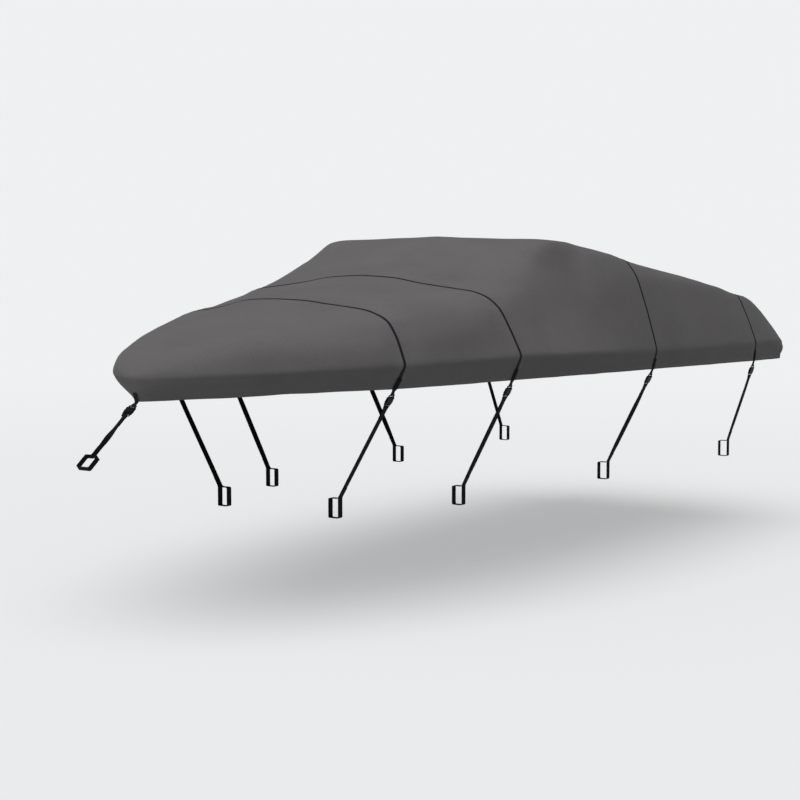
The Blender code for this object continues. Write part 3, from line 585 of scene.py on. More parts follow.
def panelFromLines(name, lines, polar):
    # a closed sheet under a grid of lines, which all start from one pole if it is polar
    rows, columns = lines.shape[:2]
    normal = gridNormals(lines)
    if polar:
        normal[:, 0] = (0.0, 0.0, 1.0)
    for end in (0, -1):
        normal[end, :, 0] = 0.0
        normal[end] = units(normal[end])
    half = np.arange(lineLength)
    band = slice(-len(bandSteps), None)
    out = np.zeros(lineLength)
    out[band] = np.minimum(bandOut, 0.0) * weaveRelief["stitchGroove"]
    out[band] += np.maximum(bandOut, 0.0) * weaveRelief["hemCord"]
    out[-1] = -weaveRelief["edgeTuck"]
    thick = np.full(lineLength, cover["cloth"])
    thick[band] = cover["cloth"] + (cover["hemCloth"] - cover["cloth"]) * np.array(bandThick)
    thick[-1] = weaveRelief["edgeThick"]
    order = half if polar else np.concatenate([half[::-1], half[1:]])
    out, thick = out[order], thick[order]
    kneeHeight = sectionAt(lines[..., 0])[..., 1]
    isSkirt = order >= kneeColumn
    below = np.where(isSkirt[None, :], np.maximum(kneeHeight - lines[..., 2], 0.0), 0.0)
    stand = reliefAt(lines, below) + out[None, :]
    outer = lines + normal * stand[..., None]
    inner = outer - normal * thick[None, :, None]
    steps = np.linalg.norm(np.diff(lines, axis=1), axis=2)
    run = np.concatenate([np.zeros((rows, 1)), np.cumsum(steps, axis=1)], axis=1)
    if polar:
        top = np.stack([lines[..., 0], acrossLength(lines)], -1)
        rimRun = np.broadcast_to(runAlong(lines[:, -1])[:, None], run.shape)
        skirt = np.stack([rimRun, run], -1)
    else:
        top = skirt = np.stack([lines[..., 0], run - run[:, lineLength - 1:lineLength]], -1)

    def corner(i, j, side):
        if polar:
            return side if j == 0 else 2 + side * rows * (columns - 1) + i * (columns - 1) + j - 1
        return side * rows * columns + i * columns + j

    faces, coordinates = [], []
    for i in range(rows - 1):
        for j in range(columns - 1):
            square = [(i, j), (i, j + 1), (i + 1, j + 1), (i + 1, j)]
            if polar and j == 0:
                square = [(i, 0), (i, 1), (i + 1, 1)]
            chart = skirt if order[j] >= kneeColumn or order[j + 1] > kneeColumn else top
            for side in (0, 1):
                ring = square if side == 0 else square[::-1]
                faces.append([corner(a, b, side) for a, b in ring])
                coordinates += [chart[a, b] for a, b in ring]
    edge = [(i, 0) for i in range(rows)] + [(rows - 1, j) for j in range(1, columns)]
    edge += [(i, columns - 1) for i in range(rows - 2, -1, -1)]
    edge += [(0, j) for j in range(columns - 2, 0, -1)]
    if polar:
        edge = [(0, 0)] + edge[rows:]
    for here, there in zip(edge, edge[1:] + edge[:1]):
        ring = [(*here, 0), (*there, 0), (*there, 1), (*here, 1)]
        faces.append([corner(*spot) for spot in ring])
        coordinates += [top[spot[0], spot[1]] for spot in ring]
    if polar:
        vertices = [outer[0, 0], inner[0, 0]]
        vertices += [*outer[:, 1:].reshape(-1, 3), *inner[:, 1:].reshape(-1, 3)]
    else:
        vertices = [*outer.reshape(-1, 3), *inner.reshape(-1, 3)]
    return makeMesh(name, place(vertices), faces, coordinates, clothMaterial)


def makeMesh(name, vertices, faces, coordinates, material, angle=50):
    # a closed mesh at the frame's origin, facing outwards, with its cut's coordinates in metres
    data = bpy.data.meshes.new(name)
    data.from_pydata([tuple(v) for v in vertices], [], faces)
    layer = data.uv_layers.new(name="cut")
    layer.data.foreach_set("uv", np.asarray(coordinates, float).ravel())
    piece = bpy.data.objects.new(name, data)
    bpy.context.scene.collection.objects.link(piece)
    if signedVolume(data) < 0:
        data.flip_normals()
    data.materials.append(material)
    bpy.ops.object.select_all(action="DESELECT")
    piece.select_set(True)
    bpy.context.view_layer.objects.active = piece
    bpy.ops.object.shade_smooth_by_angle(angle=math.radians(angle))
    return piece


def signedVolume(data):
    data.calc_loop_triangles()
    points = np.empty(len(data.vertices) * 3)
    data.vertices.foreach_get("co", points)
    points = points.reshape(-1, 3)
    corners = np.empty(len(data.loop_triangles) * 3, int)
    data.loop_triangles.foreach_get("vertices", corners)
    a, b, c = points[corners.reshape(-1, 3)].transpose(1, 0, 2)
    return np.einsum("ij,ij->i", a, np.cross(b, c)).sum() / 6


def sheetArea(piece):
    return sum(face.area for face in piece.data.polygons) / 2


# A panel's rows: distances beside a seam, along a side and round the bow, and counts at the stern.
spacing = {
    "seam": np.array([0.0, 0.006, 0.012, 0.018, 0.024, 0.031, 0.040, 0.052, 0.068]),
    "side": 0.021, "bow": 0.016, "bowClear": 0.048, "sternClear": 0.056,
    "sternRows": 22, "cornerRows": 15, "transomRows": 46, "sidePoints": 60, "nosePoints": 160,
}
nearSeam = spacing["seam"][:7]


def seamSpacing(start, end):
    # rows close together beside the seams and even between them
    near = spacing["seam"]
    count = max(2, round((end - start - 2 * near[-1]) / spacing["side"]) + 1)
    middle = np.linspace(start + near[-1], end - near[-1], count)
    return np.concatenate([start + near[:-1], middle, end - near[-2::-1]])


def crossPanel(name, start, end):
    gap = cover["seamGap"] / 2
    x = seamSpacing(start + gap, end - gap)
    port, starboard = [clothLines(x, x, side * halfWidth(x)) for side in (-1, 1)]
    return panelFromLines(name, np.concatenate([port[:, ::-1], starboard[:, 1:]], axis=1), False)


def endPanel(name, poleX, starboard):
    # starboard is half the knuckle's outline in plan, from the seam to the middle plane
    outline = np.vstack([starboard * (1, -1), starboard[-2::-1]])
    return panelFromLines(name, clothLines(poleX, outline[:, 0], outline[:, 1]), True)


def evenly(points, apart):
    # points at even distances along a line, keeping its two ends
    run = runAlong(points)
    at = np.linspace(0, run[-1], round(run[-1] / apart) + 1)
    return np.stack([np.interp(at, run, points[:, k]) for k in range(points.shape[1])], -1)


def onKnuckle(x):
    return np.stack([x, halfWidth(x)], -1)


def bowOutline(start):
    noseEnd = cover["stemX"] + cover["noseLength"]
    sides = np.linspace(start, noseEnd, spacing["sidePoints"])
    shrink = np.linspace(1, 0, spacing["nosePoints"])[1:] ** 2
    nose = cover["stemX"] + cover["noseLength"] * shrink
    x = evenly(onKnuckle(np.concatenate([sides, nose])), spacing["bow"])[:, 0]
    return np.vstack([onKnuckle(start - nearSeam), onKnuckle(x[x < start - spacing["bowClear"]])])


def sternOutline(start):
    radius = cover["cornerRadius"]
    cornerX = cover["transomX"] - radius
    rest = np.linspace(start + spacing["sternClear"], cornerX, spacing["sternRows"])
    side = onKnuckle(np.concatenate([start + nearSeam, rest]))
    cornerY = side[-1, 1] - radius
    turn = np.linspace(0, np.pi / 2, spacing["cornerRows"])[1:]
    corner = np.stack([cornerX + radius * np.sin(turn), cornerY + radius * np.cos(turn)], -1)
    across = np.linspace(1, 0, spacing["transomRows"])[1:]
    back = np.stack([np.full(len(across), cover["transomX"]), cornerY * across], -1)
    return np.vstack([side, corner, back])


def dress(piece, node):
    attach(piece, "root")
    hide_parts(node)


bowStart, sternStart = seams[0] - cover["seamGap"] / 2, seams[3] + cover["seamGap"] / 2
panels = {
    "panelBow": endPanel("panelBow", bowStart, bowOutline(bowStart)),
    "panelForedeck": crossPanel("panelForedeck", seams[0], seams[1]),
    "panelWindscreen": crossPanel("panelWindscreen", seams[1], seams[2]),
    "panelCockpit": crossPanel("panelCockpit", seams[2], seams[3]),
    "panelStern": endPanel("panelStern", sternStart, sternOutline(sternStart)),
}
for pieceName, panel in panels.items():
    dress(panel, pieceName.replace("panel", "panel_").lower())
    print(pieceName, len(panel.data.polygons), "faces", round(sheetArea(panel), 2), "m2")


def hemToHem(x):
    line = clothLines(x, x, halfWidth(x))[0]
    return 2 * np.linalg.norm(np.diff(line, axis=0), axis=1).sum()


# Widths are hem to hem where the panel is widest, and the addition is an allowance that is given;
# the results are not kept.
hemToHem(seams[0] - 0.001)
hemToHem(seams[1])
max(hemToHem(2.743), hemToHem(seams[2]))
hemToHem(seams[2])
hemToHem(seams[3]) * 1.02
print("cloth panels made")


# Webs, patches and straps.
hardware = {
    "webWidth": 0.025, "seamWidth": 0.0145, "seamFlare": 0.120, "webThick": 0.0014,
    "strapWidth": 0.038, "bowStrapWidth": 0.026, "strapThick": 0.0016, "plyGap": 0.0004,
    "webClear": 0.0007, "patchWidth": 0.028, "patchLength": 0.062, "patchFoot": 0.006,
    "patchRows": 9, "patchCrown": 0.0002, "webReturn": 0.045, "webFoot": 0.014, "barLead": 0.002,
    "bowTab": 0.048, "buckleDrop": 0.030, "buckleLift": 0.004,
    "socketLength": 0.046, "plugLength": 0.027, "barLength": 0.005, "barHalf": 0.002,
    "strapTail": 0.070, "plyMeet": 0.022, "plyPart": 0.003, "lap": 0.060, "untwist": 0.160,
    "bend": 0.0012, "webBend": 0.004, "returnFoot": 0.002, "leadIn": 0.030, "twistSteps": 12,
    "strapStep": 0.03, "webStep": 0.01, "patchSit": 0.6,
    "railHeight": 0.100, "railWidth": 0.060, "railCorner": 0.008, "railClear": 0.0005,
    "railInset": 0.003,
    "railEdges": ((0.405, 0.578), (0.680, 0.580), (0.790, 0.573), (0.895, 0.575)),
    "postTouch": (-0.129, 0.899), "postSide": 0.076,
    "strapTurns": (2.0, 9.0, 16.0, 6.0),        # degrees that each hanging strap faces forward
}
buckleFoot = hardware["buckleDrop"] + hardware["socketLength"] + hardware["plugLength"]
cornerSteps = 6
cornerShare = 0.45      # how much of a straight run its corner may round off


def strip(name, centres, sides, width, thick, material, crown=0.0):
    # a flat woven strip with rounded selvedges, through centre points, with the direction of its
    # width at each
    centres, sides = np.asarray(centres, float), np.asarray(sides, float)
    tangent = units(np.gradient(centres, axis=0))
    sides = units(sides - tangent * np.einsum("ij,ij->i", sides, tangent)[:, None])
    normal = np.cross(sides, tangent)
    half, t = np.broadcast_to(np.asarray(width, float) / 2, len(centres)), thick / 2

    def outline(w):
        start = [(-w, -0.4 * t), (-w + 0.6 * t, -t), (-0.5 * w, -t - 0.7 * crown), (0, -t - crown)]
        lower = start + [(-u, v) for u, v in start[-2::-1]]
        return lower + [(-u, -v) for u, v in lower]

    rings = [outline(w) for w in half]
    count = len(rings[0])
    run = runAlong(centres)
    vertices = [c + s * u + n * v for c, s, n, ring in zip(centres, sides, normal, rings)
                for u, v in ring]
    faces, coordinates = [], []
    for i in range(len(centres) - 1):
        for k in range(count):
            n = (k + 1) % count
            square = [(i, k), (i, n), (i + 1, n), (i + 1, k)]
            faces.append([a * count + b for a, b in square])
            coordinates += [(run[a], rings[a][b][0]) for a, b in square]
    last = len(centres) - 1
    for end, columns in ((0, range(count)[::-1]), (last, range(count))):
        faces.append([end * count + k for k in columns])
        coordinates += [(run[end], rings[end][k][0]) for k in columns]
    return makeMesh(name, place(vertices), faces, coordinates, material, 60)


def roundCorners(points, radius):
    points = [np.asarray(point, float) for point in points]
    line = [points[0]]
    for before, corner, after in zip(points, points[1:], points[2:]):
        back, ahead = before - corner, after - corner
        shortest = min(np.linalg.norm(back), np.linalg.norm(ahead))
        reach = min(radius, cornerShare * shortest)
        start, end = corner + unit(back) * reach, corner + unit(ahead) * reach
        for step in range(cornerSteps + 1):
            part = step / cornerSteps
            line.append(start * (1 - part)**2 + corner * 2 * part * (1 - part) + end * part**2)
    line.append(points[-1])
    return line


def fill(points, spacing):
    # extra points along the long straight runs
    line = [points[0]]
    for before, after in zip(points, points[1:]):
        count = max(1, math.ceil(np.linalg.norm(after - before) / spacing))
        line += [before + (after - before) * step / count for step in range(1, count + 1)]
    return line


def outward(direction, side):
    # the direction or its opposite, whichever leads away from the middle plane
    return -direction if direction[1] * side < 0 else direction


def hemFrame(seamX, side):
    # where a buckle hangs: the hem point, the way down to the rail, outwards and across
    hem = hemUnder(np.float64(seamX), halfWidth(seamX) * side)
    edgeY, edgeZ = hardware["railEdges"][seams.index(seamX)]
    down = unit([0.0, edgeY * side - hem[1], edgeZ - hem[2]])
    across = np.array([1.0, 0.0, 0.0])
    return hem, down, outward(np.cross(across, down), side), across


def bowFrame():
    hem = hemUnder(np.float64(cover["stemX"]), np.float64(0.0))
    touchX, touchZ = hardware["postTouch"]
    down = unit(np.array([touchX, 0.0, touchZ]) - hem)
    return hem, down, np.array([down[2], 0.0, -down[0]]), np.array([0.0, 1.0, 0.0])


def hangPoints(hem, down, out, route):
    # the points of a route given as lengths down from the hem and lifts out from it
    return [hem + down * length + out * lift for length, lift in route]


def webEnd(hem, down, out):
    # past the hem: once round the buckle's bar and back on its outer side
    h = hardware
    near = h["webClear"] + h["webThick"] / 2
    far = near + h["webThick"] + h["plyGap"]
    wrap = h["barHalf"] + h["plyGap"] + h["webThick"] / 2
    begin, centre = h["buckleDrop"] - h["barLead"], h["buckleLift"]
    end = h["buckleDrop"] + h["barLength"] + h["plyGap"] + h["webThick"] / 2
    return hangPoints(hem, down, out, [
        (h["webFoot"], near), (begin, centre - wrap), (end, centre - wrap),
        (end, centre + wrap), (begin, centre + wrap), (h["webFoot"], far)])


def skirtWays(seamX, side):
    # the skirt's own lines, way down, outwards and across beside a seam
    x = seamX + np.array([-0.5, 0.0, 0.5]) * hardware["webWidth"]
    lines = clothLines(x, x, halfWidth(x) * side)
    down = unit(lines[1, -1] - lines[1, kneeColumn + 3])
    across = unit(lines[2, -1] - lines[0, -1])
    return lines, down, outward(unit(np.cross(across, down)), side), across


def seamWeb(name, seamX):
    h = hardware
    halves = []
    lift = h["webClear"] + h["webThick"] / 2
    flat = kneeColumn - 2
    for side in (-1, 1):
        lines, skirtDown, skirtOut, _ = skirtWays(seamX, side)
        middle = lines[1]
        across = lines[2] - lines[0]
        normal = units(np.cross(across, np.gradient(middle, axis=0)) * side)
        stand = np.full(len(middle), lift)
        stand[-len(bandSteps):] += weaveRelief["hemCord"] * np.maximum(bandOut, 0.0)
        coverPart = middle + normal * stand[:, None]
        hem, down, out, level = hemFrame(seamX, side)
        far = lift + h["webThick"] + h["plyGap"] + weaveRelief["hemCord"]
        back = [hem + skirtOut * far - skirtDown * up for up in (h["returnFoot"], h["webReturn"])]
        loop = webEnd(hem, down, out)
        tail = roundCorners([coverPart[-1], *loop, *back], h["webBend"])[1:]
        hanging = (cornerSteps + 1) * len(loop)
        sides = [*across, *[level] * hanging, *[across[-1]] * (len(tail) - hanging)]
        fall = np.linalg.norm(middle - middle[flat], axis=1)
        fall[:flat] = 0.0
        wide = h["seamWidth"] + (h["webWidth"] - h["seamWidth"]) * ease(fall / h["seamFlare"])
        wide = np.append(wide, np.full(len(tail), h["webWidth"]))
        halves.append((np.vstack([coverPart, tail]), np.array(sides), wide))
    centres, sides, wide = [np.concatenate([port[::-1], starboard[1:]])
                            for port, starboard in zip(*halves)]
    return strip(name, centres, sides, wide, h["webThick"], sewnWebMaterial)


def skirtPatch(name, seamX, side):
    h = hardware
    hem = hemFrame(seamX, side)[0]
    _, down, out, across = skirtWays(seamX, side)
    lift = h["webClear"] + 2 * h["webThick"] + 2 * h["plyGap"] + h["strapThick"] / 2
    lift += weaveRelief["hemCord"] * h["patchSit"]
    centres = [hem - down * (h["patchFoot"] + h["patchLength"] * step) + out * lift
               for step in np.linspace(0, 1, h["patchRows"])]
    return strip(name, centres, [across] * h["patchRows"], h["patchWidth"], h["strapThick"],
                 patchMaterial, h["patchCrown"])


def strapHead(hem, down, out):
    # the wide strap's tail, its turn round the buckle's lower bar and its way on
    h = hardware
    wrap = h["barHalf"] + h["plyGap"] + h["strapThick"] / 2
    slot = buckleFoot - h["barLength"] - h["plyGap"] - h["strapThick"] / 2
    ply = (h["strapThick"] + h["plyGap"]) / 2
    meet, part, centre = buckleFoot + h["plyMeet"], buckleFoot + h["plyPart"], h["buckleLift"]
    return hangPoints(hem, down, out, [
        (buckleFoot + h["strapTail"], centre - ply), (meet, centre - ply), (part, centre - wrap),
        (slot, centre - wrap), (slot, centre + wrap), (part, centre + wrap), (meet, centre + ply)])


def tieDown(name, seamX, side):
    # from the buckle to the rail, once round the rail and lapped on itself
    h = hardware
    number = seams.index(seamX)
    hem, down, out, across = hemFrame(seamX, side)
    edge, top = h["railEdges"][number]
    off = h["railClear"] + h["strapThick"] / 2
    head = strapHead(hem, down, out)
    turn = np.array([seamX, (edge - h["railInset"]) * side, top + off])
    lean = unit(turn - head[-1])
    outer = outward(unit([0.0, -lean[2] * side, lean[1] * side]), side)
    lapFoot = turn + outer * (h["strapThick"] + h["plyGap"])
    rise = ((edge + off) * side - lapFoot[1]) / -lean[1]
    fold = lapFoot - lean * rise
    low, far = top - h["railHeight"] - off, edge - h["railWidth"] - off
    loop = [(far, top + off), (far, low), (edge + off, low)]
    around = [np.array([seamX, y * side, z]) for y, z in loop]
    free = head[-1] + lean * h["leadIn"]
    hold = roundCorners([free, turn, *around, fold, fold - lean * h["lap"]], h["railCorner"])
    centres = roundCorners([*head, free], h["bend"]) + fill(hold, h["strapStep"])[1:]
    reach = np.array([np.dot(centre - hem, down) for centre in centres])
    begin = ease((reach - buckleFoot) / h["untwist"])
    share = begin[:, None]
    sides = across * (1 - share) + np.array([1.0, 0.0, 0.0]) * share
    foot = np.dot(turn - hem, down)
    turned = math.radians(h["strapTurns"][number]) * begin
    turned = (turned * ease((foot - reach) / h["untwist"]))[:, None]
    face = np.cross(lean, sides)
    sides = sides * np.cos(turned) + face * np.sin(turned) * -np.sign(face[0, 1])
    return strip(name, centres, sides, h["strapWidth"], h["strapThick"], strapMaterial)


def bowWeb(name):
    h = hardware
    hem, down, out, across = bowFrame()
    line = clothLines(seams[0], cover["stemX"], 0.0)[0]
    skirt = unit(hem - line[kneeColumn + 3])
    skin = np.array([skirt[2], 0.0, -skirt[0]])
    lift = skin * (h["webClear"] + h["webThick"] / 2 + weaveRelief["hemCord"])
    start = [hem - skirt * h["bowTab"] + lift, hem + lift]
    bends = roundCorners([*start, *webEnd(hem, down, out)], h["bend"] * 2)
    centres = fill(bends, h["webStep"])
    sides = [across] * len(centres)
    return strip(name, centres, sides, h["webWidth"], h["webThick"], sewnWebMaterial)


def bowStrap(name):
    # a quarter twist, then once round the square post and lapped on itself
    h = hardware
    hem, down, out, across = bowFrame()
    touchX, touchZ = h["postTouch"]
    touch = np.dot(np.array([touchX, 0.0, touchZ]) - hem, down)
    lap = h["strapThick"] + h["plyGap"]
    lift = h["buckleLift"] + lap / 2
    half = h["postSide"] / 2 + h["railClear"] + h["strapThick"] / 2
    begin, end, far = buckleFoot + h["strapTail"], touch - h["lap"], touch + 2 * half
    loop = [(end, 0.0), (touch, 0.0), (touch, -half), (far, -half), (far, half), (touch, half),
            (touch, lap), (end, lap)]
    around = [hem + down * length + out * lift + across * y for length, y in loop]
    twist = hem + down * begin + out * lift
    count = h["twistSteps"]
    straight = [twist + (around[0] - twist) * step / count for step in range(count)]
    bends = roundCorners([*strapHead(hem, down, out), straight[0]], h["bend"])
    centres = bends + straight[1:] + roundCorners(around, h["railCorner"])
    reach = np.array([np.dot(centre - hem, down) for centre in centres])
    turn = ease((reach - begin) / (end - begin)) * np.pi / 2
    sides = across * np.cos(turn)[:, None] + out * np.sin(turn)[:, None]
    sides[len(bends) + len(straight) - 1:] = out
    return strip(name, centres, sides, h["bowStrapWidth"], h["strapThick"], strapMaterial)


sideWords = ((-1, "port", "Port"), (1, "starboard", "Starboard"))
for number, seamX in enumerate(seams, 1):
    dress(seamWeb(f"seamWeb{number}", seamX), f"seam_web_{number}")
    for side, word, title in sideWords:
        patch = skirtPatch(f"patch{title}{number}", seamX, side)
        dress(patch, f"patch_{word}_{number}")
        strap = tieDown(f"tieDown{title}{number}", seamX, side)
        dress(strap, f"tie_down_{word}_{number}")
dress(bowWeb("bowWeb"), "bow_web")
dress(bowStrap("bowStrap"), "bow_strap")
print("webs and straps made")


# Side-release buckles. Their places are x across the strap, y down it and z out from the boat.
socket = {
    "half": (0.027, 0.0065), "length": 0.046, "neck": 0.0245, "waist": 0.0256,
    "lip": 0.0425, "lipHalf": 0.0069, "bar": 0.005, "slotEnd": 0.011, "slotHalf": 0.0145,
    "shelf": 0.0134, "shelfHalf": 0.0019, "rampEnd": 0.0160, "crown": 1.06,
    "mouthHalf": (0.0215, 0.0038), "window": (0.0220, 0.0340), "pocketEnd": 0.0165,
    "dishHalf": 0.0145, "dish": (0.0185, 0.0385), "dishInset": 0.0014, "dishDepth": 0.0007,
    "bevel": 0.0011,
}
plug = {
    "half": (0.026, 0.0055), "start": 0.0464, "end": 0.073, "foot": 0.0245,
    "tongueHalf": 0.006, "tongueTip": 0.020, "tongueTaper": 0.8,
    "prong": (0.012, 0.0165), "prongTip": 0.0205, "armHalf": 0.0026,
    "button": (0.0225, 0.0325), "buttonHalf": 0.0262, "buttonLead": 0.003,
    "slot": (0.062, 0.068), "slotHalf": 0.020, "keeper": (0.0509, 0.0544), "keeperHalf": 0.0165,
    "rampStart": 0.0588, "shelf": 0.0600, "shelfHalf": 0.0019, "crown": 1.05,
    "ribs": ((0.0553, 0.0560), (0.0566, 0.0573)), "ribHeight": 0.0005, "bevel": 0.0009,
}
moulding = {"sharp": 35, "smooth": 40, "bevelSteps": 3, "weld": 0.00002}      # angles in degrees
hair = 0.0001       # how near counts as on a line
facing = 0.9        # the share of a normal along an axis from which a face counts as facing it


def startBlock(name, low, high):
    # a box left open for editing
    bpy.ops.object.select_all(action="DESELECT")
    bpy.ops.mesh.primitive_cube_add(size=1, location=[(a + b) / 2 for a, b in zip(low, high)])
    block = bpy.context.active_object
    block.name = block.data.name = name
    block.scale = [b - a for a, b in zip(low, high)]
    bpy.ops.object.transform_apply(location=True, rotation=True, scale=True)
    bpy.ops.object.mode_set(mode="EDIT")
    return block


def choose(kind, test):
    # picks the vertices or faces that pass a test of their x, y, z and normal
    bpy.ops.mesh.select_mode(type=kind)
    bpy.ops.mesh.select_all(action="DESELECT")
    data = bpy.context.edit_object.data
    mesh = bmesh.from_edit_mesh(data)
    for item in (mesh.faces if kind == "FACE" else mesh.verts):
        spot = item.calc_center_median() if kind == "FACE" else item.co
        item.select_set(bool(test(*spot, item.normal)))
    bmesh.update_edit_mesh(data)


def cutAcross(axis, places, test=lambda x, y, z, normal: True):
    # a line of edges round the chosen faces at each place along one axis
    normal = [float(k == axis) for k in range(3)]
    for at in places:
        choose("FACE", test)
        bpy.ops.mesh.bisect(plane_co=[at * n for n in normal], plane_no=normal)


def between(value, limits):
    return limits[0] < value < limits[1]


def extrudeBy(x=0.0, y=0.0, z=0.0):
    bpy.ops.mesh.extrude_region_move(TRANSFORM_OT_translate={"value": (x, y, z)})


def extrudeThrough(*stops):
    # from the first place along y to each of the next
    for here, there in zip(stops, stops[1:]):
        extrudeBy(y=there - here)


def squeeze(x=1.0, z=1.0, test=None):
    if test:
        choose("VERT", test)
    bpy.ops.transform.resize(value=(x, 1.0, z), center_override=(0.0, 0.0, 0.0))


def holeThrough(axis, test):
    # one open hole between the chosen faces of the two sides across an axis
    choose("FACE", lambda x, y, z, normal: abs(normal[axis]) > facing and test(x, y, z))
    bpy.ops.mesh.bridge_edge_loops()


def bevelSharp(width):
    bpy.ops.mesh.select_mode(type="EDGE")
    bpy.ops.mesh.select_all(action="DESELECT")
    bpy.ops.mesh.edges_select_sharp(sharpness=math.radians(moulding["sharp"]))
    bpy.ops.mesh.bevel(offset=width, segments=moulding["bevelSteps"], profile=0.5,
                       clamp_overlap=True)


def closeBlock(block, material):
    bpy.ops.mesh.select_all(action="SELECT")
    bpy.ops.mesh.remove_doubles(threshold=moulding["weld"])
    bpy.ops.mesh.select_all(action="SELECT")
    bpy.ops.mesh.normals_make_consistent(inside=False)
    bpy.ops.object.mode_set(mode="OBJECT")
    bpy.ops.object.shade_smooth_by_angle(angle=math.radians(moulding["smooth"]))
    bpy.ops.object.modifier_add(type="WEIGHTED_NORMAL")
    block.modifiers[-1].keep_sharp = True
    bpy.ops.object.modifier_apply(modifier=block.modifiers[-1].name)
    block.data.materials.append(material)
    return block


def buckleSocket():
    s = socket
    wide, thick = s["half"]
    mouthX, mouthZ = s["mouthHalf"]
    window, dish = s["window"], s["dish"]
    block = startBlock("socketPattern", (-wide, 0.0, -thick), (wide, s["length"], thick))
    cutAcross(0, [side * x for x in (s["slotHalf"], mouthX) for side in (-1, 1)])
    cutAcross(1, [s["bar"], s["slotEnd"], s["shelf"], s["rampEnd"], dish[0], *window, dish[1],
                  s["lip"]])
    squeeze(z=s["shelfHalf"] / thick, test=lambda x, y, z, normal: y < s["shelf"] + hair)
    squeeze(z=s["lipHalf"] / thick, test=lambda x, y, z, normal: y > s["lip"] - hair)
    squeeze(z=s["crown"], test=lambda x, y, z, normal:
            y > s["rampEnd"] - hair and abs(x) < s["slotHalf"] + hair)
    cutAcross(2, (-mouthZ, mouthZ), lambda x, y, z, normal: y > s["rampEnd"])
    # the web's slot, the pocket and the two side windows
    holeThrough(2, lambda x, y, z: abs(x) < s["slotHalf"] and between(y, (s["bar"], s["slotEnd"])))
    choose("FACE", lambda x, y, z, normal:
           y > s["length"] - hair and abs(x) < mouthX and abs(z) < mouthZ)
    extrudeThrough(s["length"], window[1], window[0], s["pocketEnd"])
    for side in (-1, 1):
        holeThrough(0, lambda x, y, z:
                    x * side > 0.9 * mouthX and between(y, window) and abs(z) < mouthZ - hair)
    # the plan's neck and waist
    squeeze(x=s["neck"] / wide, test=lambda x, y, z, normal:
            abs(x) > wide - hair and y < s["shelf"] + hair)
    squeeze(x=s["waist"] / wide, test=lambda x, y, z, normal:
            abs(x) > wide - hair and between(y, (window[0] - hair, window[1] + hair)))
    bevelSharp(s["bevel"])
    # a shallow thumb dish on the outer face
    choose("FACE", lambda x, y, z, normal:
           normal.z > facing and z > 0 and abs(x) < s["dishHalf"] and between(y, dish))
    bpy.ops.mesh.inset(thickness=s["dishInset"], depth=0.0)
    bpy.ops.mesh.inset(thickness=s["dishInset"], depth=-s["dishDepth"])
    return closeBlock(block, buckleMaterial)


def bucklePlug():
    p = plug
    wide, thick = p["half"]
    start, button, keeper, arm = p["start"], p["button"], p["keeper"], p["armHalf"]
    block = startBlock("plugPattern", (-wide, start, -thick), (wide, p["end"], thick))
    columns = (p["tongueHalf"], *p["prong"], p["slotHalf"])
    cutAcross(0, [side * x for x in columns for side in (-1, 1)])
    cutAcross(1, [*keeper, p["rampStart"], p["shelf"], *p["slot"]])
    squeeze(z=p["shelfHalf"] / thick, test=lambda x, y, z, normal: y > p["shelf"] - hair)
    squeeze(z=p["crown"], test=lambda x, y, z, normal:
            y < p["rampStart"] + hair and abs(x) < p["keeperHalf"] + hair)
    cutAcross(2, (-arm, arm), lambda x, y, z, normal: normal.y < -facing)
    holeThrough(2, lambda x, y, z: abs(x) < p["slotHalf"] and between(y, p["slot"]))
    holeThrough(2, lambda x, y, z: abs(x) < p["keeperHalf"] and between(y, keeper))
    # the middle tongue and the two spring prongs with their buttons
    choose("FACE", lambda x, y, z, normal:
           y < start + hair and abs(x) < p["tongueHalf"] and abs(z) < arm)
    extrudeBy(y=p["tongueTip"] - start)
    squeeze(x=p["tongueTaper"])
    choose("FACE", lambda x, y, z, normal:
           abs(y - start) < hair and between(abs(x), p["prong"]) and abs(z) < arm)
    extrudeThrough(start, button[1], button[0], p["prongTip"])
    for side in (-1, 1):
        choose("FACE", lambda x, y, z, normal: normal.x * side > facing and between(y, button)
               and abs(abs(x) - p["prong"][1]) < hair)
        extrudeBy(x=side * (p["buttonHalf"] - p["prong"][1]))
        choose("VERT", lambda x, y, z, normal:
               x * side > p["buttonHalf"] - hair and y < button[0] + hair)
        bpy.ops.transform.translate(value=(-side * p["buttonLead"], 0.0, 0.0))
    squeeze(x=p["foot"] / wide, test=lambda x, y, z, normal:
            abs(x) > wide - hair and y > p["slot"][1] + hair)
    bevelSharp(p["bevel"])

    def onGrip(x, y, z, normal):
        return (normal.z > facing and z > 0 and abs(x) < p["keeperHalf"]
                and between(y, (keeper[1], p["rampStart"])))

    # thin grip ribs across the outer face
    cutAcross(1, [y for rib in p["ribs"] for y in rib], onGrip)
    choose("FACE", lambda x, y, z, normal:
           onGrip(x, y, z, normal) and any(between(y, rib) for rib in p["ribs"]))
    extrudeBy(z=p["ribHeight"])
    return closeBlock(block, buckleMaterial)


def buckleCopy(name, pattern, hangFrame):
    # a copy with its own mesh, turned into place at one hem point
    hem, down, out, across = hangFrame
    if np.dot(np.cross(across, down), out) < 0:
        across = -across
    route = [(hardware["buckleDrop"], hardware["buckleLift"])]
    spot = place(hangPoints(hem, down, out, route))[0]
    data = pattern.data.copy()
    rows = [[*row, at] for row, at in zip(np.stack([across, down, out], 1), spot)]
    data.transform(Matrix([*rows, [0, 0, 0, 1]]))
    data.name = name
    copy = bpy.data.objects.new(name, data)
    bpy.context.scene.collection.objects.link(copy)
    return copy


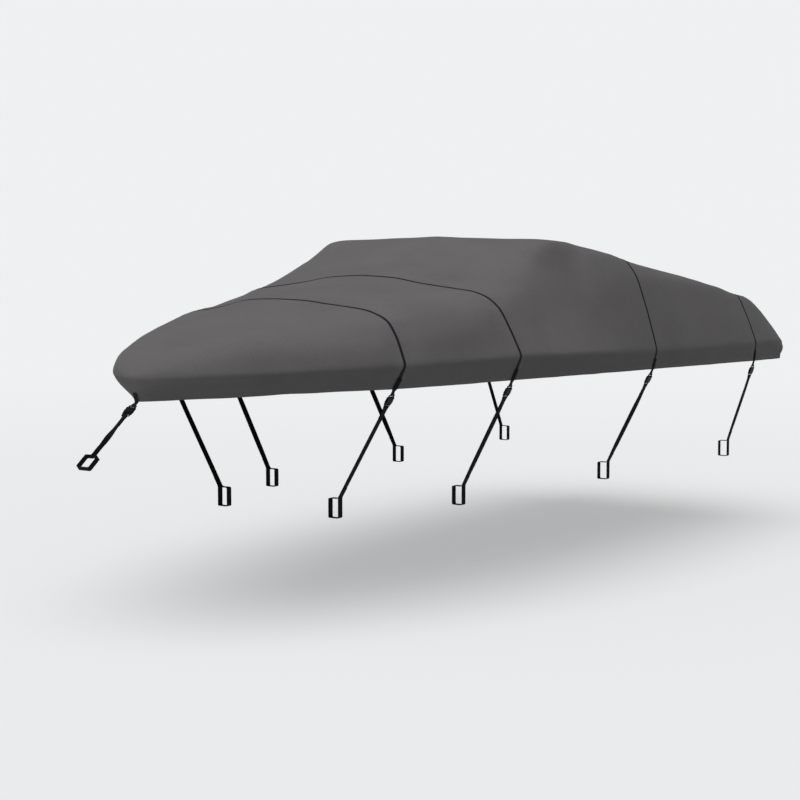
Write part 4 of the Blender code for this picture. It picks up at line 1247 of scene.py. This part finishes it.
patterns = {"Socket": buckleSocket(), "Plug": bucklePlug()}
for part, pattern in patterns.items():
    word = part.lower()
    for number, seamX in enumerate(seams, 1):
        for side, sideWord, title in sideWords:
            copy = buckleCopy(f"buckle{part}{title}{number}", pattern, hemFrame(seamX, side))
            dress(copy, f"buckle_{word}_{sideWord}_{number}")
    copy = buckleCopy(f"buckle{part}Bow", pattern, bowFrame())
    dress(copy, f"buckle_{word}_bow")
    bpy.data.objects.remove(pattern)
print("buckles made")


# Floor, light and camera.
studio = {
    "ground": -1.9348, "floorSize": 2000, "floorColour": "e9e9ea", "floorRoughness": 0.9,
    "floorGloss": 0.1, "air": "fdfeff", "backdrop": 0.88,
    # the air's brightness by height
    "airSteps": ((-1.0, 0.16), (-0.45, 0.64), (-0.10, 0.12), (0.20, 0.30), (0.70, 0.37),
                 (1.0, 0.44)),
    # painted light: the floor glows in part near the cover, which lightens the cover's cast shadow,
    # and wholly further out, so that it runs into the backdrop without a line
    "floorGlow": 0.45, "fadeStart": 2.0, "fadeEnd": 16.0,
    "airAhead": 1.62, "airBehind": 0.05,
    "overhead": 2.16, "overheadSpread": 66.0, "overheadWay": (0.30, 0.10, -1.0),
    "front": 0.12, "frontSpread": 60.0, "frontWay": (0.80, 0.35, -0.50),
    "camera": (-8.6846, -5.7726, -0.0720), "yaw": 34.7925, "pitch": -4.93,
    "lens": 78.75, "sensor": 36.0,
}
bpy.ops.object.select_all(action="DESELECT")
bpy.ops.mesh.primitive_plane_add(size=studio["floorSize"], location=(0, 0, studio["ground"]))
floor = bpy.context.active_object
floor.name = "floor"
# Pale grey paint, matt, mixed with painted light: it glows like the backdrop, in part near the
# cover, which lightens the cover's cast shadow, and wholly further out.
floorMaterial, floorTree, floorShader = newMaterial("paintedFloor")
setNode(floorTree, floorShader,
        {"Base Color": linear(studio["floorColour"]), "Roughness": studio["floorRoughness"],
         "Specular IOR Level": studio["floorGloss"]})
away = addNode(floorTree, "ShaderNodeVectorMath", {"operation": "LENGTH"},
               {0: objectPlace(floorTree)})
# how much of the floor is painted glow: 45 percent by the cover, lightening its shadow, rising to
# all of it far out
fading = addNode(floorTree, "ShaderNodeMapRange",
                 {"interpolation_type": "SMOOTHSTEP", "From Min": studio["fadeStart"],
                  "From Max": studio["fadeEnd"], "To Min": studio["floorGlow"], "To Max": 1.0},
                 {"Value": away.outputs["Value"]})
backdrop = {"Color": linear(studio["air"]), "Strength": studio["backdrop"]}
glow = addNode(floorTree, "ShaderNodeEmission", backdrop)
floorMix = addNode(floorTree, "ShaderNodeMixShader",
                   links={0: fading.outputs[0], 1: floorShader.outputs[0], 2: glow.outputs[0]})
floorTree.links.new(floorMix.outputs[0], floorTree.nodes["Material Output"].inputs["Surface"])
floor.data.materials.append(floorMaterial)
floor.visible_diffuse = floor.visible_shadow = False      # its bounce is in the lower air instead

world = bpy.data.worlds.new("studioAir")
bpy.context.scene.world = world
world.use_nodes = True
airTree = world.node_tree
air = airTree.nodes["Background"]
air.inputs["Color"].default_value = linear(studio["air"])
towards = addNode(airTree, "ShaderNodeTexCoord").outputs["Generated"]
height = addNode(airTree, "ShaderNodeSeparateXYZ", links={0: towards})
lifted = addNode(airTree, "ShaderNodeMath", {"operation": "MULTIPLY_ADD", 1: 0.5, 2: 0.5},
                 {0: height.outputs[2]})
ramp = addNode(airTree, "ShaderNodeValToRGB", links={0: lifted.outputs[0]})
while len(ramp.color_ramp.elements) < len(studio["airSteps"]):
    ramp.color_ramp.elements.new(0.5)
for element, (level, strength) in zip(ramp.color_ramp.elements, studio["airSteps"]):
    element.position = (level + 1) / 2
    element.color = (strength, strength, strength, 1.0)
ahead = remap(airTree, height.outputs[0], (-1.0, 1.0), (studio["airAhead"], studio["airBehind"]))
airTree.links.new(sums(airTree, "MULTIPLY", ramp.outputs[0], ahead), air.inputs["Strength"])
wall = addNode(airTree, "ShaderNodeBackground", backdrop)
seen = addNode(airTree, "ShaderNodeLightPath").outputs["Is Camera Ray"]
both = addNode(airTree, "ShaderNodeMixShader",
               links={0: seen, 1: air.outputs[0], 2: wall.outputs[0]})
airTree.links.new(both.outputs[0], airTree.nodes["World Output"].inputs["Surface"])


def standFacing(name, data, way):
    # a light or camera that looks along one direction
    thing = bpy.data.objects.new(name, data)
    thing.rotation_euler = Vector(way).to_track_quat("-Z", "Y").to_euler()
    bpy.context.scene.collection.objects.link(thing)
    return thing


for name in ("overhead", "front"):
    lamp = bpy.data.lights.new(name, "SUN")
    lamp.energy = studio[name]
    lamp.angle = math.radians(studio[name + "Spread"])
    standFacing(name, lamp, studio[name + "Way"])

cameraData = bpy.data.cameras.new("viewpoint")
cameraData.lens = studio["lens"]
cameraData.sensor_width = studio["sensor"]
cameraData.sensor_fit = "HORIZONTAL"
yaw, pitch = math.radians(studio["yaw"]), math.radians(studio["pitch"])
aim = (math.cos(yaw) * math.cos(pitch), math.sin(yaw) * math.cos(pitch), math.sin(pitch))
camera = standFacing("viewpoint", cameraData, aim)
camera.location = studio["camera"]
bpy.context.scene.camera = camera
bpy.context.scene.view_settings.view_transform = "Standard"
print("floor, light and camera set")
